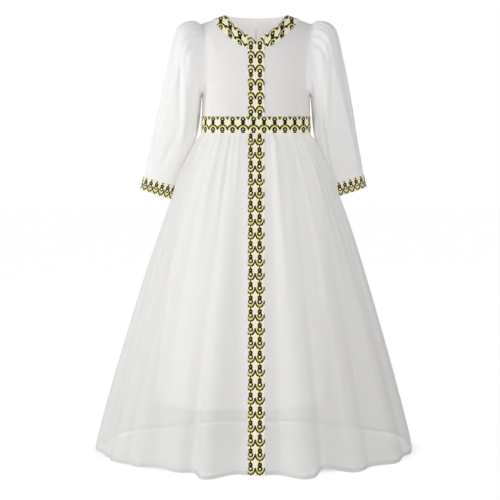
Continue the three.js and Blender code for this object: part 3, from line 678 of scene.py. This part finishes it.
def blocks(name, centres, along, across, size):
    """Many small blocks: each has its length along one direction, its width along the second and its
    height along their cross product."""
    along = along / np.linalg.norm(along, axis=-1, keepdims=True)
    up = np.cross(along, across)
    up /= np.linalg.norm(up, axis=-1, keepdims=True)
    axes = np.stack([along, np.cross(up, along), up], axis=1)
    places = centres[:, None] + np.einsum("ck,nkd->ncd", BLOCK * size, axes)
    faces = BLOCK_FACES[None] + 8 * np.arange(len(centres))[:, None, None]
    plan = np.zeros((faces.size, 2))
    return to_mesh(name, places.reshape(-1, 3), faces.reshape(-1, 4), plan)


def spaced(line, pitch):
    """Points at equal steps along a line, with the line's direction there."""
    far = np.concatenate([[0], np.cumsum(np.linalg.norm(np.diff(line, axis=0), axis=1))])
    at = np.arange(pitch / 2, far[-1], pitch)
    points = np.stack([np.interp(at, far, line[:, k]) for k in range(3)], axis=1)
    ahead = np.stack([np.interp(at + 0.4 * pitch, far, line[:, k]) for k in range(3)], axis=1)
    behind = np.stack([np.interp(at - 0.4 * pitch, far, line[:, k]) for k in range(3)], axis=1)
    return points, ahead - behind


# ---------- materials ----------
class Value:
    """A shader socket that carries a number. Arithmetic on values adds their Math nodes."""

    def __init__(self, finish, socket):
        self.finish, self.socket = finish, socket

    def math(self, operation, *others):
        """This value and the others through one Math node."""
        inputs = dict(enumerate([self, *others]))
        return self.finish.value("ShaderNodeMath", {"operation": operation}, inputs)

    def __add__(self, other):
        return self.math("ADD", other)

    def __sub__(self, other):
        return self.math("SUBTRACT", other)

    def __rsub__(self, other):
        return self.math("MULTIPLY", -1) + other

    def __mul__(self, other):
        return self.math("MULTIPLY", other)

    def __truediv__(self, other):
        return self.math("DIVIDE", other)

    def __pow__(self, other):
        return self.math("POWER", other)

    def __abs__(self):
        return self.math("ABSOLUTE")

    __radd__, __rmul__ = __add__, __mul__

    def over(self, edge, soft):
        """0 below an edge and 1 above it, with an S as wide as twice `soft` between them."""
        settings = {"interpolation_type": "SMOOTHSTEP"}
        return self.finish.value("ShaderNodeMapRange", settings, {0: self, 1: edge - soft, 2: edge + soft})

    def under(self, edge, soft):
        return 1 - self.over(edge, soft)


class Finish:
    """The nodes of one material, round a Principled surface."""

    def __init__(self, name, **constants):
        self.material = bpy.data.materials.new(name)
        self.material.use_nodes = True
        self.tree = self.material.node_tree
        self.surface = self.tree.nodes["Principled BSDF"]
        for socket, constant in constants.items():
            self.surface.inputs[socket.replace("_", " ")].default_value = constant

    def node(self, kind, settings, inputs):
        """One node: its settings first, then what its sockets are set to or linked from."""
        node = self.tree.nodes.new(kind)
        for setting, choice in settings.items():
            setattr(node, setting, choice)
        for socket, source in inputs.items():
            if isinstance(source, Value):
                source = source.socket
            if isinstance(source, bpy.types.NodeSocket):
                self.tree.links.new(source, node.inputs[socket])
            else:
                node.inputs[socket].default_value = source
        return node

    def value(self, kind, settings, inputs, output=0):
        return Value(self, self.node(kind, settings, inputs).outputs[output])

    def plan(self):
        """The piece's own flat plan, as two values in millimetres."""
        where = self.node("ShaderNodeUVMap", {"uv_map": "plan"}, {})
        parts = self.node("ShaderNodeSeparateXYZ", {}, {0: where.outputs[0]})
        return [Value(self, parts.outputs[k]) / MM for k in (0, 1)]

    def noise(self, size, detail=2.0, stretch=(1, 1, 1)):
        """Soft noise on the piece, from 0 to 1; size is that of its blotches in metres."""
        where = self.node("ShaderNodeTexCoord", {}, {}).outputs["Object"]
        scaled = self.node("ShaderNodeMapping", {}, {"Vector": where, "Scale": [s / size for s in stretch]})
        inputs = {"Vector": scaled.outputs[0], "Scale": 1, "Detail": detail}
        return self.value("ShaderNodeTexNoise", {}, inputs)

    def mix(self, share, low, high):
        """A colour between two, by a share from 0 to 1."""
        node = self.node("ShaderNodeMix", {"data_type": "RGBA"}, {0: share, 6: low, 7: high})
        return node.outputs[2]

    def bump(self, height, distance, strength=1.0):
        """Bump of the surface by a height from 0 to 1, `distance` millimetres deep."""
        inputs = {"Height": height, "Distance": distance * MM, "Strength": strength}
        node = self.node("ShaderNodeBump", {}, inputs)
        self.tree.links.new(node.outputs[0], self.surface.inputs["Normal"])

    def paint(self, socket, source):
        if isinstance(source, Value):
            source = source.socket
        self.tree.links.new(source, self.surface.inputs[socket])

    def let_light_through(self, share, tint):
        """Mixes in a translucent surface, so that the cloth glows with the light behind it."""
        self.blend(share, self.node("ShaderNodeBsdfTranslucent", {}, {"Color": tint}))

    def blend(self, share, other):
        """Mixes another surface in over the Principled one, by a share from 0 to 1."""
        inputs = {0: share, 1: self.surface.outputs[0], 2: other.outputs[0]}
        mixed = self.node("ShaderNodeMixShader", {}, inputs)
        self.tree.links.new(mixed.outputs[0], self.tree.nodes["Material Output"].inputs["Surface"])


def wave(value, pitch):
    """A sine wave of the given pitch, from 0 to 1."""
    return (value * (2 * math.pi / pitch)).math("SINE") * 0.5 + 0.5


def plain_weave(name, colour, shade, pitch, depth, slub, through=0.0, **constants):
    """Plain-woven cloth: threads that cross over and under at the pitch, and slubs that run along the
    threads and darken it a little."""
    finish = Finish(name, **constants)
    u, v = finish.plan()
    threads = wave(u, pitch) * wave(v, pitch) + wave(u + pitch / 2, pitch) * wave(v + pitch / 2, pitch)
    slubs = finish.noise(0.03, stretch=(5, 5, 0.6)) * 0.6 + finish.noise(0.16) * 0.4
    finish.paint("Base Color", finish.mix(slubs * slub, colour, shade))
    finish.bump(threads, depth)
    if through:
        finish.let_light_through(through, colour)
    return finish.material


def scale_band(name, colours, column, repeat, start, circles, cups=False):
    """Woven band of scales in upright columns. In each repeat a dark pointed arch crosses the column, with
    a gold crescent under it, and below that a round ring and a smaller square one meet over a short stem.
    A pale gap with a grey vein parts the columns. Cups turn the scales over. Start is the plan's place of a
    column's edge and a repeat's foot, and circles hold each ring's height and outer radius, all in
    millimetres."""
    # The emission strength makes the band glow faintly. This is painted light.
    finish = Finish(
        name, Roughness=0.62, Specular_IOR_Level=0.22, Sheen_Weight=0.06, Emission_Strength=0.14
    )
    u, v = finish.plan()
    u = u + (finish.noise(0.006, detail=1.0) - 0.5) * 1.6
    v = v + (finish.noise(0.008, detail=1.0) - 0.5) * 1.8
    p = ((u - start[0]) / column).math("FRACT") * column - column / 2
    q = ((v - start[1]) / repeat).math("FRACT") * repeat
    if cups:
        q = repeat - q
    half, arch, soft = 0.485 * column, 0.46 * repeat, 0.5
    line, stroke = max(1.1, ARCH_LINE * column / 2), max(2.7, RING_STROKE * column / 2)
    foot = repeat - arch
    rise = (q - foot).math("MAXIMUM", 0)

    def bow(across, up):
        """0 at the middle of an arch's foot and 1 along the arch, which is pointed a little."""
        return (abs(p / across) ** 1.8 + (rise / up) ** 1.8) ** (1 / 1.8)

    outer = bow(half, arch)
    upper = q.over(foot - 1, 0.8)
    outline = (abs(outer - 1) * half).under(line, soft) * upper
    crescent = bow(0.8 * half, 0.52 * arch).over(1, 0.06) * outer.under(1, 0.04) * upper
    body = abs(p).under(0.36 * column, 0.8) * q.under(foot, 0.8) + outer.under(1, 0.05) * upper
    vein = abs(p).over(column / 2 - 0.5, 0.3) * q.under(foot - 1, 0.5)
    lowest, radius = circles[-1]
    dark = outline + abs(p).under(1.3, 0.4) * q.under(lowest - radius + 0.8, 0.5)
    for (height, radius), power in zip(circles, (2, 4)):
        away = (abs(p) ** power + abs(q - height) ** power) ** (1 / power)
        dark = dark + abs(away - radius + stroke / 2).under(stroke / 2, soft)
        inside = away.under(radius - stroke + 0.3, 0.4)
    ground = finish.mix(body.math("MINIMUM", 1), colours["gap"], colours["cream"])
    ground = finish.mix(vein * 0.6, ground, colours["vein"])
    ground = finish.mix(crescent, ground, colours["gold"])
    ground = finish.mix(inside, ground, colours["bronze"])
    pattern = finish.mix(dark.math("MINIMUM", 1), ground, colours["outline"])
    ribs = wave(v, 0.9) * 0.6 + wave(u, 1.4) * 0.4
    shaded = finish.mix(ribs * 0.05, pattern, colours["outline"])
    finish.paint("Base Color", shaded)
    # The band's pattern is also its glow colour. This is painted light that brightens the band's pale parts.
    finish.paint("Emission Color", shaded)
    finish.bump(ribs + crescent * 0.5, 0.25)
    return finish.material


def colour(name, description, red, green, blue):
    """A colour property, given as a display colour from 0 to 255."""

    def linear(part):
        part /= 255
        return part / 12.92 if part <= 0.04045 else ((part + 0.055) / 1.055) ** 2.4

    return bpy.props.FloatVectorProperty(
        name=name,
        description=description,
        default=tuple(linear(part) for part in (red, green, blue)),
        subtype="COLOR",
        min=0,
        max=1,
    )


def share_of(name, description, default):
    return bpy.props.FloatProperty(
        name=name, description=description, default=default, min=0, max=1, subtype="FACTOR"
    )


def strength(name, description, default):
    return bpy.props.FloatProperty(name=name, description=description, default=default, min=0)


def thickness(name, description, default):
    return bpy.props.FloatProperty(
        name=name, description=description, default=default * MM, min=0, unit="LENGTH", precision=4
    )


# ---------- settings ----------
class AbayaSizes(bpy.types.PropertyGroup):
    """Thicknesses and small sizes of the cloth."""

    chiffon: thickness("Chiffon", "Thickness of the skirt and sleeve cloth", 0.7)
    lining: thickness("Lining", "Thickness of the lining cloth", 0.8)
    bodice: thickness("Bodice", "Thickness of the bodice with its backing", 1.0)
    hem: thickness("Hem", "Width of the turned hem of the skirt", 9)
    lining_hem: thickness("Lining hem", "Width of the turned hem of the lining", 14)
    stitch: thickness("Stitch", "Length of one stitch", 2.6)
    stitch_pitch: thickness("Stitch pitch", "Distance from one stitch to the next", 3.4)
    sheerness: share_of("Chiffon cover", "How much of the light the chiffon stops", 0.74)
    floor_gap: thickness("Floor gap", "How far the hem hangs over the floor", 30)


class AbayaColours(bpy.types.PropertyGroup):
    """Colours of the cloth, the bands, the zip and the floor."""

    chiffon: colour("Chiffon", "Colour of the skirt", 245, 244, 242)
    # The sleeves are lighter than the skirt partly because their cloth is doubled, and partly through
    # painted light that brightens them.
    sleeve: colour("Sleeve", "Colour of the sleeves, whose cloth is doubled", 253, 252, 251)
    bodice: colour("Bodice", "Colour of the bodice", 244, 242, 241)
    lining: colour("Lining", "Colour of the lining", 252, 252, 252)
    shade: colour("Slub", "Colour of the slubs in the cloth", 212, 209, 207)
    cream: colour("Cream", "Ground of the woven scales", 246, 237, 194)
    gap: colour("Gap", "Pale gap between the columns of scales", 252, 248, 228)
    vein: colour("Vein", "Fine line along the gap", 176, 172, 158)
    gold: colour("Gold", "Crescents of the woven scales", 226, 210, 112)
    bronze: colour("Bronze", "Inside of the small square rings", 172, 146, 74)
    outline: colour("Outline", "Arches and rings of the woven scales", 22, 15, 4)
    metal: colour("Zip lacquer", "Colour of the zip's slider and tab", 246, 245, 243)
    floor: colour("Floor", "Colour of the studio floor", 228, 228, 228)


class AbayaLight(bpy.types.PropertyGroup):
    """Powers of the four lights, and the brightness of the room round them."""

    key: strength("Key", "Power of the light on the left", 39)
    fill: strength("Fill", "Power of the light in front", 32)
    side: strength("Side", "Power of the light on the right", 10)
    back: strength("Back", "Power of the light behind", 16)
    room: strength("Room", "Brightness of the white room", 0.46)


def sizes():
    """Sizes of the cloth, in millimetres. The chiffon's cover is a share, and isn't one of them."""
    chosen = bpy.context.scene.abaya_sizes
    names = [name for name in AbayaSizes.__annotations__ if name != "sheerness"]
    return {name: getattr(chosen, name) / MM for name in names}


def colours():
    """The colours with their alpha, by name."""
    chosen = bpy.context.scene.abaya_colours
    return {name: (*getattr(chosen, name), 1.0) for name in AbayaColours.__annotations__}


def cloth_finish(kind):
    """The material of one kind of cloth, made once."""
    if kind in bpy.data.materials:
        return bpy.data.materials[kind]
    tint = colours()
    shade = tint["shade"]
    cover = bpy.context.scene.abaya_sizes.sheerness
    if kind == "skirt_chiffon":
        return plain_weave(
            kind, tint["chiffon"], shade, 0.9, 0.05, 0.1, through=0.14,
            Roughness=0.8, Sheen_Weight=0.1, Alpha=cover,
        )
    if kind == "skirt_chiffon_inside":
        return plain_weave(kind, tint["chiffon"], shade, 0.9, 0.05, 0.2, Roughness=0.8, Alpha=0.12)
    # The sleeve's lighter tint is partly doubled cloth and partly painted light.
    if kind == "sleeve_chiffon":
        return plain_weave(kind, tint["sleeve"], shade, 0.9, 0.05, 0.1, Roughness=0.8, Sheen_Weight=0.1)
    if kind == "bodice_crepe":
        return plain_weave(kind, tint["bodice"], shade, 0.8, 0.06, 0.2, Roughness=0.75, Sheen_Weight=0.12)
    # The lining glows a little white. This is painted light, so that it shows lighter through the chiffon.
    if kind == "lining_satin":
        return plain_weave(
            kind, tint["lining"], shade, 0.6, 0.04, 0.1, Roughness=0.5, Sheen_Weight=0.1,
            Emission_Strength=0.3, Emission_Color=(1, 1, 1, 1),
        )
    # The backing and the tapes glow a little in the bodice's colour. This is painted light that lifts the
    # inside of the back neck and the tape seen through the chiffon.
    glow = {"bodice_backing": 0.18, "tape_twill": 0.2}.get(kind, 0.0)
    return plain_weave(
        kind, tint["bodice"], shade, 1.1, 0.08, 0.1, Roughness=0.85,
        Emission_Strength=glow, Emission_Color=tint["bodice"],
    )


def upright_plan(points):
    """A plan that keeps the pattern upright: across is x, and up is z."""
    return points[..., (0, 2)]


# ---------- operators ----------
class ABAYA_OT_bodice(bpy.types.Operator):
    """Makes the front and the two backs of the bodice, with the binding of the back neck"""

    bl_idname = "abaya.bodice"
    bl_label = "Bodice"

    def execute(self, context):
        material = cloth_finish("bodice_crepe")
        thick = sizes()["bodice"]
        rows = [np.linspace(-1, 0, 12), 1 - np.linspace(1, 0, 90) ** 1.5, np.linspace(0.19, 0.29, 41)]
        rows = np.unique(np.concatenate(rows).round(4))  # the last ones lie close, where the armhole begins
        edge = np.concatenate([[0, HALF_BAND], np.linspace(HALF_BAND, SHOULDER_HALF, 58)[1:]])
        columns = np.concatenate([-edge[:0:-1], edge])
        points = front_panel(*grid(columns, rows))
        front = wall("bodice_front_cloth", points, thick)
        finish_piece(front, material, ["bodice_front"])
        half = np.concatenate([np.linspace(0, TAPE_HALF, 5)[:-1], np.linspace(TAPE_HALF, SHOULDER_HALF, 58)])
        for name, hand in (("right", -1), ("left", 1)):
            points = back_panel(hand, *grid(half, rows))
            back = wall(f"bodice_back_{name}_cloth", points, thick, turned=-hand)
            backing = cloth_finish("bodice_backing")
            finish_piece(back, material, [f"bodice_back_{name}"], inner=backing)
            points = back_panel(hand, *grid(np.linspace(0, 62, 30), np.linspace(0.96, 1, 10)))
            binding = wall(
                f"neck_binding_{name}_tape", points, BINDING_THICK, out=-thick - LIFT, turned=-hand
            )
            finish_piece(binding, cloth_finish("tape_twill"), [f"neck_binding_{name}"])
        return {"FINISHED"}


class ABAYA_OT_sleeves(bpy.types.Operator):
    """Makes the two gathered sleeves"""

    bl_idname = "abaya.sleeves"
    bl_label = "Sleeves"

    def execute(self, context):
        material = cloth_finish("sleeve_chiffon")
        turns = np.linspace(0, 1, 181)[:-1]
        rows = np.concatenate([np.linspace(0, 1, 9)[:-1], np.linspace(1, LAST_RING, 130)])
        for name, hand in (("right", -1), ("left", 1)):
            points = sleeve(name, *grid(turns, rows))
            piece = wall(f"sleeve_{name}_cloth", points, sizes()["chiffon"], turned=hand, closed=True)
            finish_piece(piece, material, [f"sleeve_{name}"])
        return {"FINISHED"}


def turning(name, surface, angles, width, length, thick):
    """The turned-up hem of a skirt, inside its last rows."""
    rows = np.linspace(1 - width / length, 1 - 0.4 / length, 4)
    return wall(name, surface(*grid(angles, rows)), HEM_THICK, out=-thick - HEM_GAP, turned=-1)


# Flat size and area of a skirt or lining panel, by whether it is the front one.
FLAT_SKIRTS = {
    ("skirt", True): ((1.12, 0.81), 0.66),
    ("skirt", False): ((0.57, 0.81), 0.33),
    ("lining", True): ((0.56, 0.66), 0.29),
    ("lining", False): ((0.28, 0.66), 0.145),
}


def behind(surface, hand):
    """A back panel of the skirt or lining, moved off the centre-back seam."""

    def half(angle, row):
        points = surface(1, angle, row)
        points[..., 0] += hand * SEAM / 2
        return points

    return half


class ABAYA_OT_skirt(bpy.types.Operator):
    """Makes the gathered skirt and its lining, each with a turned hem"""

    bl_idname = "abaya.skirt"
    bl_label = "Skirt and lining"

    def execute(self, context):
        size = sizes()
        for kind, surface, material, fine in (
            ("skirt", skirt, ("skirt_chiffon", "chiffon"), (1.0, 130)),
            ("lining", lining, ("lining_satin", "lining_cloth"), (2.0, 60)),
        ):
            thick = size["chiffon" if kind == "skirt" else "lining"]
            hem = size["hem" if kind == "skirt" else "lining_hem"]
            length = WAIST_SEAM - (HEM if kind == "skirt" else LINING_HEM)
            rows = np.linspace(0, 1, fine[1]) ** 1.15
            step = 0.75 * fine[0]
            count = int(round(90 / step))
            sides = {
                f"{kind}_front": (lambda a, r, s=surface: s(-1, a, r), np.linspace(-90, 90, 2 * count + 1)),
                f"{kind}_back_right": (behind(surface, -1), np.linspace(-180, -90, count + 1)),
                f"{kind}_back_left": (behind(surface, 1), np.linspace(90, 180, count + 1)),
            }
            for node, (shape, angles) in sides.items():
                piece = wall(f"{node}_cloth", shape(*grid(angles, rows)), thick, turned=-1)
                inside = cloth_finish("skirt_chiffon_inside") if kind == "skirt" else None
                finish_piece(piece, cloth_finish(material[0]), [node], inner=inside)
                edge = turning(f"{node}_hem", shape, angles, hem, length, thick)
                finish_piece(edge, cloth_finish(material[0]))
                flat, area = FLAT_SKIRTS[kind, "front" in node]
        return {"FINISHED"}


class ABAYA_OT_bands(bpy.types.Operator):
    """Makes the woven bands at the neck, front, waist and cuffs, with their stitches"""

    bl_idname = "abaya.bands"
    bl_label = "Woven bands"

    def execute(self, context):
        tint = colours()
        patterns = {
            "waist": ("waist_scales", 24.5, 24.0, (-18.2, WAIST_BAND_TOP - 19), ((12.8, 5.8), (4.0, 4.2))),
            "front": ("front_scales", 21.0, 31.5, (-23.0, WAIST_BAND_TOP - 7), ((17.6, 5.8), (8.6, 4.7))),
            "skirt": ("skirt_scales", 20.6, 30.5, (-23.2, WAIST_SEAM - 28), ((17.8, 5.8), (9.0, 4.6)), True),
            "neck": ("neck_scales", 22.5, 21.5, (4.0, -21.0), ((11.6, 5.4), (3.6, 4.0))),
            "cuff": ("cuff_scales", 14.0, 31.0, (0.0, -31.5), ((16.5, 5.0), (8.6, 4.2)), True),
        }
        upright = {kind: scale_band(name, tint, *rest) for kind, (name, *rest) in patterns.items()}
        lines = []

        def band(name, points, pattern, plan, flat, lift=LIFT, under="bodice_front_cloth", **way):
            """One band on its points; gives back the lines just above it, and their normals. `way` says
            how the grid is turned, and whether it closes on itself."""
            piece = wall(
                f"{name}_weave", points, BAND_THICK, out=lift + BAND_THICK, plan=plan, **way
            )
            finish_piece(piece, upright[pattern], [name])
            normals = way.get("turned", 1) * normals_of(points, way.get("closed", False))
            return points + (lift + BAND_THICK + STITCH_LIFT) * normals, normals

        # Round the waist: the two backs and the front as one strip, which ends at the centre back.
        rows = np.linspace(-0.98, -0.01, 14)
        half = np.linspace(0, SHOULDER_HALF, 66)
        front_columns = np.linspace(-SHOULDER_HALF, SHOULDER_HALF, 131)
        parts = [
            back_panel(-1, *grid(half, rows)),
            front_panel(*grid(front_columns, rows))[1:-1],
            back_panel(1, *grid(half, rows))[::-1],
        ]
        points = np.concatenate(parts)
        far = lengths(points, 0)
        far -= far[len(far) // 2]
        plan = np.stack(np.broadcast_arrays(far[:, None], points[..., 2]), axis=-1)
        proud, normals = band("waist_band", points, "waist", plan, (0.0385, 0.664))
        lines += [(proud[:, 1], normals[:, 1]), (proud[:, -2], normals[:, -2])]

        # Down the front of the bodice and of the skirt.
        across = np.linspace(-HALF_BAND, HALF_BAND, 15)
        points = front_panel(*grid(across, 1 - np.linspace(1, 0, 60) ** 1.3))
        plan = upright_plan(points)
        proud, normals = band("front_band_bodice", points, "front", plan, (0.0385, 0.185))
        lines += [(proud[k], normals[k]) for k in (1, -2)]
        held = plumb_angle(HALF_BAND, SKIRT)
        points = skirt(-1, *grid(np.linspace(-held, held, 15), np.linspace(0, 1, 200)))
        plan = upright_plan(points)
        proud, normals = band(
            "front_band_skirt", points, "skirt", plan, (0.0385, 0.79), under="skirt_front_cloth", turned=-1
        )
        lines += [(proud[k], normals[k]) for k in (1, -2)]

        for name, hand in (("right", -1), ("left", 1)):
            # Neck band: its scales stay upright, and step down with the neck edge.
            along, across = grid(np.linspace(0, 1, 70) ** 1.2, np.linspace(0, 1, 16))
            points = neck_band(hand, along, across)
            edge = through(FRONT_NECK, "z", np.abs(points[..., 0]))
            plan = np.stack([hand * points[..., 0], points[..., 2] - edge], axis=-1)
            proud, normals = band(
                f"neck_band_{name}", points, "neck", plan, (0.0385, 0.115), lift=CURVED_LIFT, turned=hand
            )
            lines += [(proud[:, 1], normals[:, 1]), (proud[:, -2], normals[:, -2])]

            # Cuff: the scales hang down from the top edge of the band.
            turns = np.linspace(0, 1, 121)[:-1]
            points = sleeve(name, *grid(turns, np.linspace(CUFF_RING, LAST_RING, 12)))
            girth = lengths(np.concatenate([points, points[:1]]), 0)
            plan = np.stack(grid(girth, -lengths(points, 1)), axis=-1)
            proud, normals = band(
                f"cuff_band_{name}", points, "cuff", plan, (0.033, 0.23),
                under=f"sleeve_{name}_cloth", turned=hand, closed=True,
            )
            around = [np.concatenate([row, row[:1]]) for row in (proud[:, 1], proud[:, -2])]
            out = [np.concatenate([row, row[:1]]) for row in (normals[:, 1], normals[:, -2])]
            lines += list(zip(around, out))

        size = sizes()
        centres, along, across = [], [], []
        for line, normals in lines:
            points, direction = spaced(line, size["stitch_pitch"])
            near = np.argmin(np.linalg.norm(line[None] - points[:, None], axis=-1), axis=1)
            centres.append(points)
            along.append(direction)
            across.append(np.cross(normals[near], direction))
        stitches = blocks(
            "band_stitches",
            np.concatenate(centres),
            np.concatenate(along),
            np.concatenate(across),
            (size["stitch"], STITCH_WIDTH, STITCH_HEIGHT),
        )
        finish_piece(stitches, cloth_finish("thread"))
        return {"FINISHED"}


class ABAYA_OT_zip(bpy.types.Operator):
    """Makes the zip's tape and teeth, and finishes its slider and tab"""

    bl_idname = "abaya.zip"
    bl_label = "Zip"

    def execute(self, context):
        thick = sizes()["bodice"]
        stops = np.concatenate([np.linspace(TAPE_FROM, -1.0, 40)[:-1], np.linspace(-1, TAPE_TO, 80)])
        held = plumb_angle(TAPE_HALF, SKIRT)

        def centre_back(across, row):
            """The back's cloth beside the seam: the bodice above the waist seam, the skirt below it."""
            hand = np.sign(across)
            x = np.abs(across)
            above = bodice(1, BACK_NECK, TAPE_HALF, x, np.maximum(row, -1))
            below = skirt(1, 180 - x / TAPE_HALF * held, np.clip(-1 - row, 0, 1))
            points = np.where((row >= -1)[..., None], above, below)
            points[..., 0] = hand * (np.abs(points[..., 0]) + SEAM / 2)
            return points

        across = np.array([-TAPE_HALF, -7.0, -3.0, -0.01, 0.01, 3.0, 7.0, TAPE_HALF])
        points = centre_back(*grid(across, stops))
        tape = wall("zip_tape_weave", points, BINDING_THICK, out=-thick - LIFT, turned=-1)
        finish_piece(tape, cloth_finish("tape_twill"), ["zip_tape"])

        for name, hand in (("right", -1), ("left", 1)):
            line = centre_back(np.full(stops.shape, TOOTH_FROM_SEAM * hand), stops)
            across, rows = grid([0.9 * hand, 1.7 * hand], stops)
            normals = -hand * normals_of(centre_back(across, rows))[0]
            points, along = spaced(line - (thick + LIFT + 1.4) * normals, TOOTH_PITCH)
            near = np.argmin(np.linalg.norm(line[None] - points[:, None], axis=-1), axis=1)
            out = np.cross(normals[near], along)
            teeth = blocks(f"zip_teeth_{name}", points, out, along, TOOTH)
            finish_piece(teeth, cloth_finish("zip_coil"))

        # The lacquer glows faintly white. This is painted light that keeps the slider and tab as pale as the
        # cloth round them.
        white = (1, 1, 1, 1)
        lacquer = Finish(
            "zip_lacquer", Roughness=0.32, Coat_Weight=0.3, Emission_Strength=0.14, Emission_Color=white
        )
        tint = colours()["metal"]
        worn = lacquer.noise(0.0015, detail=3).over(0.62, 0.06)
        lacquer.paint("Base Color", lacquer.mix(worn * 0.3, tint, (0.62, 0.61, 0.58, 1)))
        lacquer.bump(lacquer.noise(0.0006), 0.02)
        for node in ("zip_slider", "zip_pull"):
            holder = bpy.data.objects[node]
            for slot in holder.material_slots:
                slot.material = lacquer.material
        return {"FINISHED"}


class ABAYA_OT_stage(bpy.types.Operator):
    """Makes the camera, the lights and the pale floor"""

    bl_idname = "abaya.stage"
    bl_label = "Studio"

    def execute(self, context):
        scene = context.scene
        chosen = scene.abaya_light
        lens = bpy.data.cameras.new("camera")
        lens.sensor_width, lens.lens = 36.0, 107.0
        lens.clip_end = 100
        camera = bpy.data.objects.new("camera", lens)
        camera.location = (-0.0144, -3.548, -0.199)
        camera.rotation_euler = (math.radians(90 - 5.76), 0, 0)
        scene.collection.objects.link(camera)
        scene.camera = camera

        def light(name, place, aim, size, power):
            """A round light at a place in metres, turned to face its aim."""
            lamp = bpy.data.lights.new(name, "AREA")
            lamp.shape, lamp.size, lamp.energy = "DISK", size, power
            holder = bpy.data.objects.new(name, lamp)
            direction = np.array(aim) - np.array(place)
            holder.location = place
            yaw = math.atan2(-direction[0], direction[1])
            pitch = math.atan2(direction[2], math.hypot(direction[0], direction[1]))
            holder.rotation_euler = (math.pi / 2 + pitch, 0, yaw)
            scene.collection.objects.link(holder)

        light("key_light", (-3.1, -1.0, 0.2), (0, 0, -0.55), 1.6, chosen.key)
        light("fill_light", (0.3, -3.4, -0.5), (0, 0, -0.65), 2.2, chosen.fill)
        light("side_light", (2.8, -1.6, -1.0), (0, 0, -0.95), 2.0, chosen.side)
        light("back_light", (-1.4, 3.2, 0.4), (0, 0, -0.5), 1.8, chosen.back)

        scene.view_settings.view_transform = "Standard"
        world = bpy.data.worlds.new("room")
        scene.world = world
        world.use_nodes = True
        nodes, links = world.node_tree.nodes, world.node_tree.links
        lit, seen = nodes["Background"], nodes.new("ShaderNodeBackground")
        path, mixed = nodes.new("ShaderNodeLightPath"), nodes.new("ShaderNodeMixShader")
        for background, strength in ((lit, chosen.room), (seen, 1.0)):
            background.inputs["Color"].default_value = (1, 1, 1, 1)
            background.inputs["Strength"].default_value = strength
        links.new(path.outputs["Is Camera Ray"], mixed.inputs[0])
        links.new(lit.outputs[0], mixed.inputs[1])
        links.new(seen.outputs[0], mixed.inputs[2])
        links.new(mixed.outputs[0], nodes["World Output"].inputs["Surface"])

        height = (HEM * MM) - scene.abaya_sizes.floor_gap
        reach = 9.0
        corners = [(x * reach, y * reach, height) for x, y in ((-1, -1), (1, -1), (1, 1), (-1, 1))]
        mesh = bpy.data.meshes.new("floor")
        mesh.from_pydata(corners, [], [(0, 1, 2, 3)])
        floor = bpy.data.objects.new("floor", mesh)
        scene.collection.objects.link(floor)
        paint = Finish("floor_paint", Roughness=0.9)
        tint = colours()["floor"]
        paint.paint("Base Color", paint.mix(paint.noise(0.4) * 0.1, tint, (0.5, 0.5, 0.5, 1)))
        glow = paint.node("ShaderNodeEmission", {}, {"Color": (1, 1, 1, 1), "Strength": 1.05})
        where = paint.node("ShaderNodeTexCoord", {}, {}).outputs["Object"]
        parts = paint.node("ShaderNodeSeparateXYZ", {}, {0: where})
        x, y = (Value(paint, parts.outputs[k]) for k in (0, 1))
        # Less of the floor's white glow is seen in an ellipse under and behind the dress. This is a painted
        # shadow of the dress on the floor, so that the floor doesn't show white through the chiffon. It is
        # placed for the view from the front.
        half_width, half_depth, back = 0.415, 0.3, 0.13
        off = ((x / half_width) ** 2 + ((y - back) / half_depth) ** 2) ** 0.5
        under, beside = 0.25, 0.92  # the glow's share in the ellipse, and outside it
        share = off.over(0.93, 0.09) * (beside - under) + under
        paint.blend(paint.value("ShaderNodeLightPath", {}, {}) * share, glow)
        mesh.materials.append(paint.material)
        return {"FINISHED"}


class ABAYA_PT_panel(bpy.types.Panel):
    """Lists the steps that make the dress, and its settings"""

    bl_label = "Abaya dress"
    bl_idname = "ABAYA_PT_panel"
    bl_space_type = "VIEW_3D"
    bl_region_type = "UI"
    bl_category = "Abaya"

    def draw(self, context):
        for step in STEPS:
            self.layout.operator(step.bl_idname)
        for group in SETTINGS:
            box = self.layout.box()
            for name in SETTINGS[group].__annotations__:
                box.prop(getattr(context.scene, group), name)


STEPS = [ABAYA_OT_stage, ABAYA_OT_bodice, ABAYA_OT_sleeves, ABAYA_OT_skirt, ABAYA_OT_bands, ABAYA_OT_zip]
SETTINGS = {"abaya_sizes": AbayaSizes, "abaya_colours": AbayaColours, "abaya_light": AbayaLight}


def register():
    for kind in (*SETTINGS.values(), *STEPS, ABAYA_PT_panel):
        bpy.utils.register_class(kind)
    for name, kind in SETTINGS.items():
        setattr(bpy.types.Scene, name, bpy.props.PointerProperty(type=kind))


def unregister():
    for name in SETTINGS:
        delattr(bpy.types.Scene, name)
    for kind in (ABAYA_PT_panel, *STEPS, *SETTINGS.values()):
        bpy.utils.unregister_class(kind)


def main():
    """Makes the whole dress and its studio."""
    register()
    for step in STEPS:
        group, name = step.bl_idname.split(".")
        getattr(getattr(bpy.ops, group), name)()


if __name__ == "__main__":
    main()
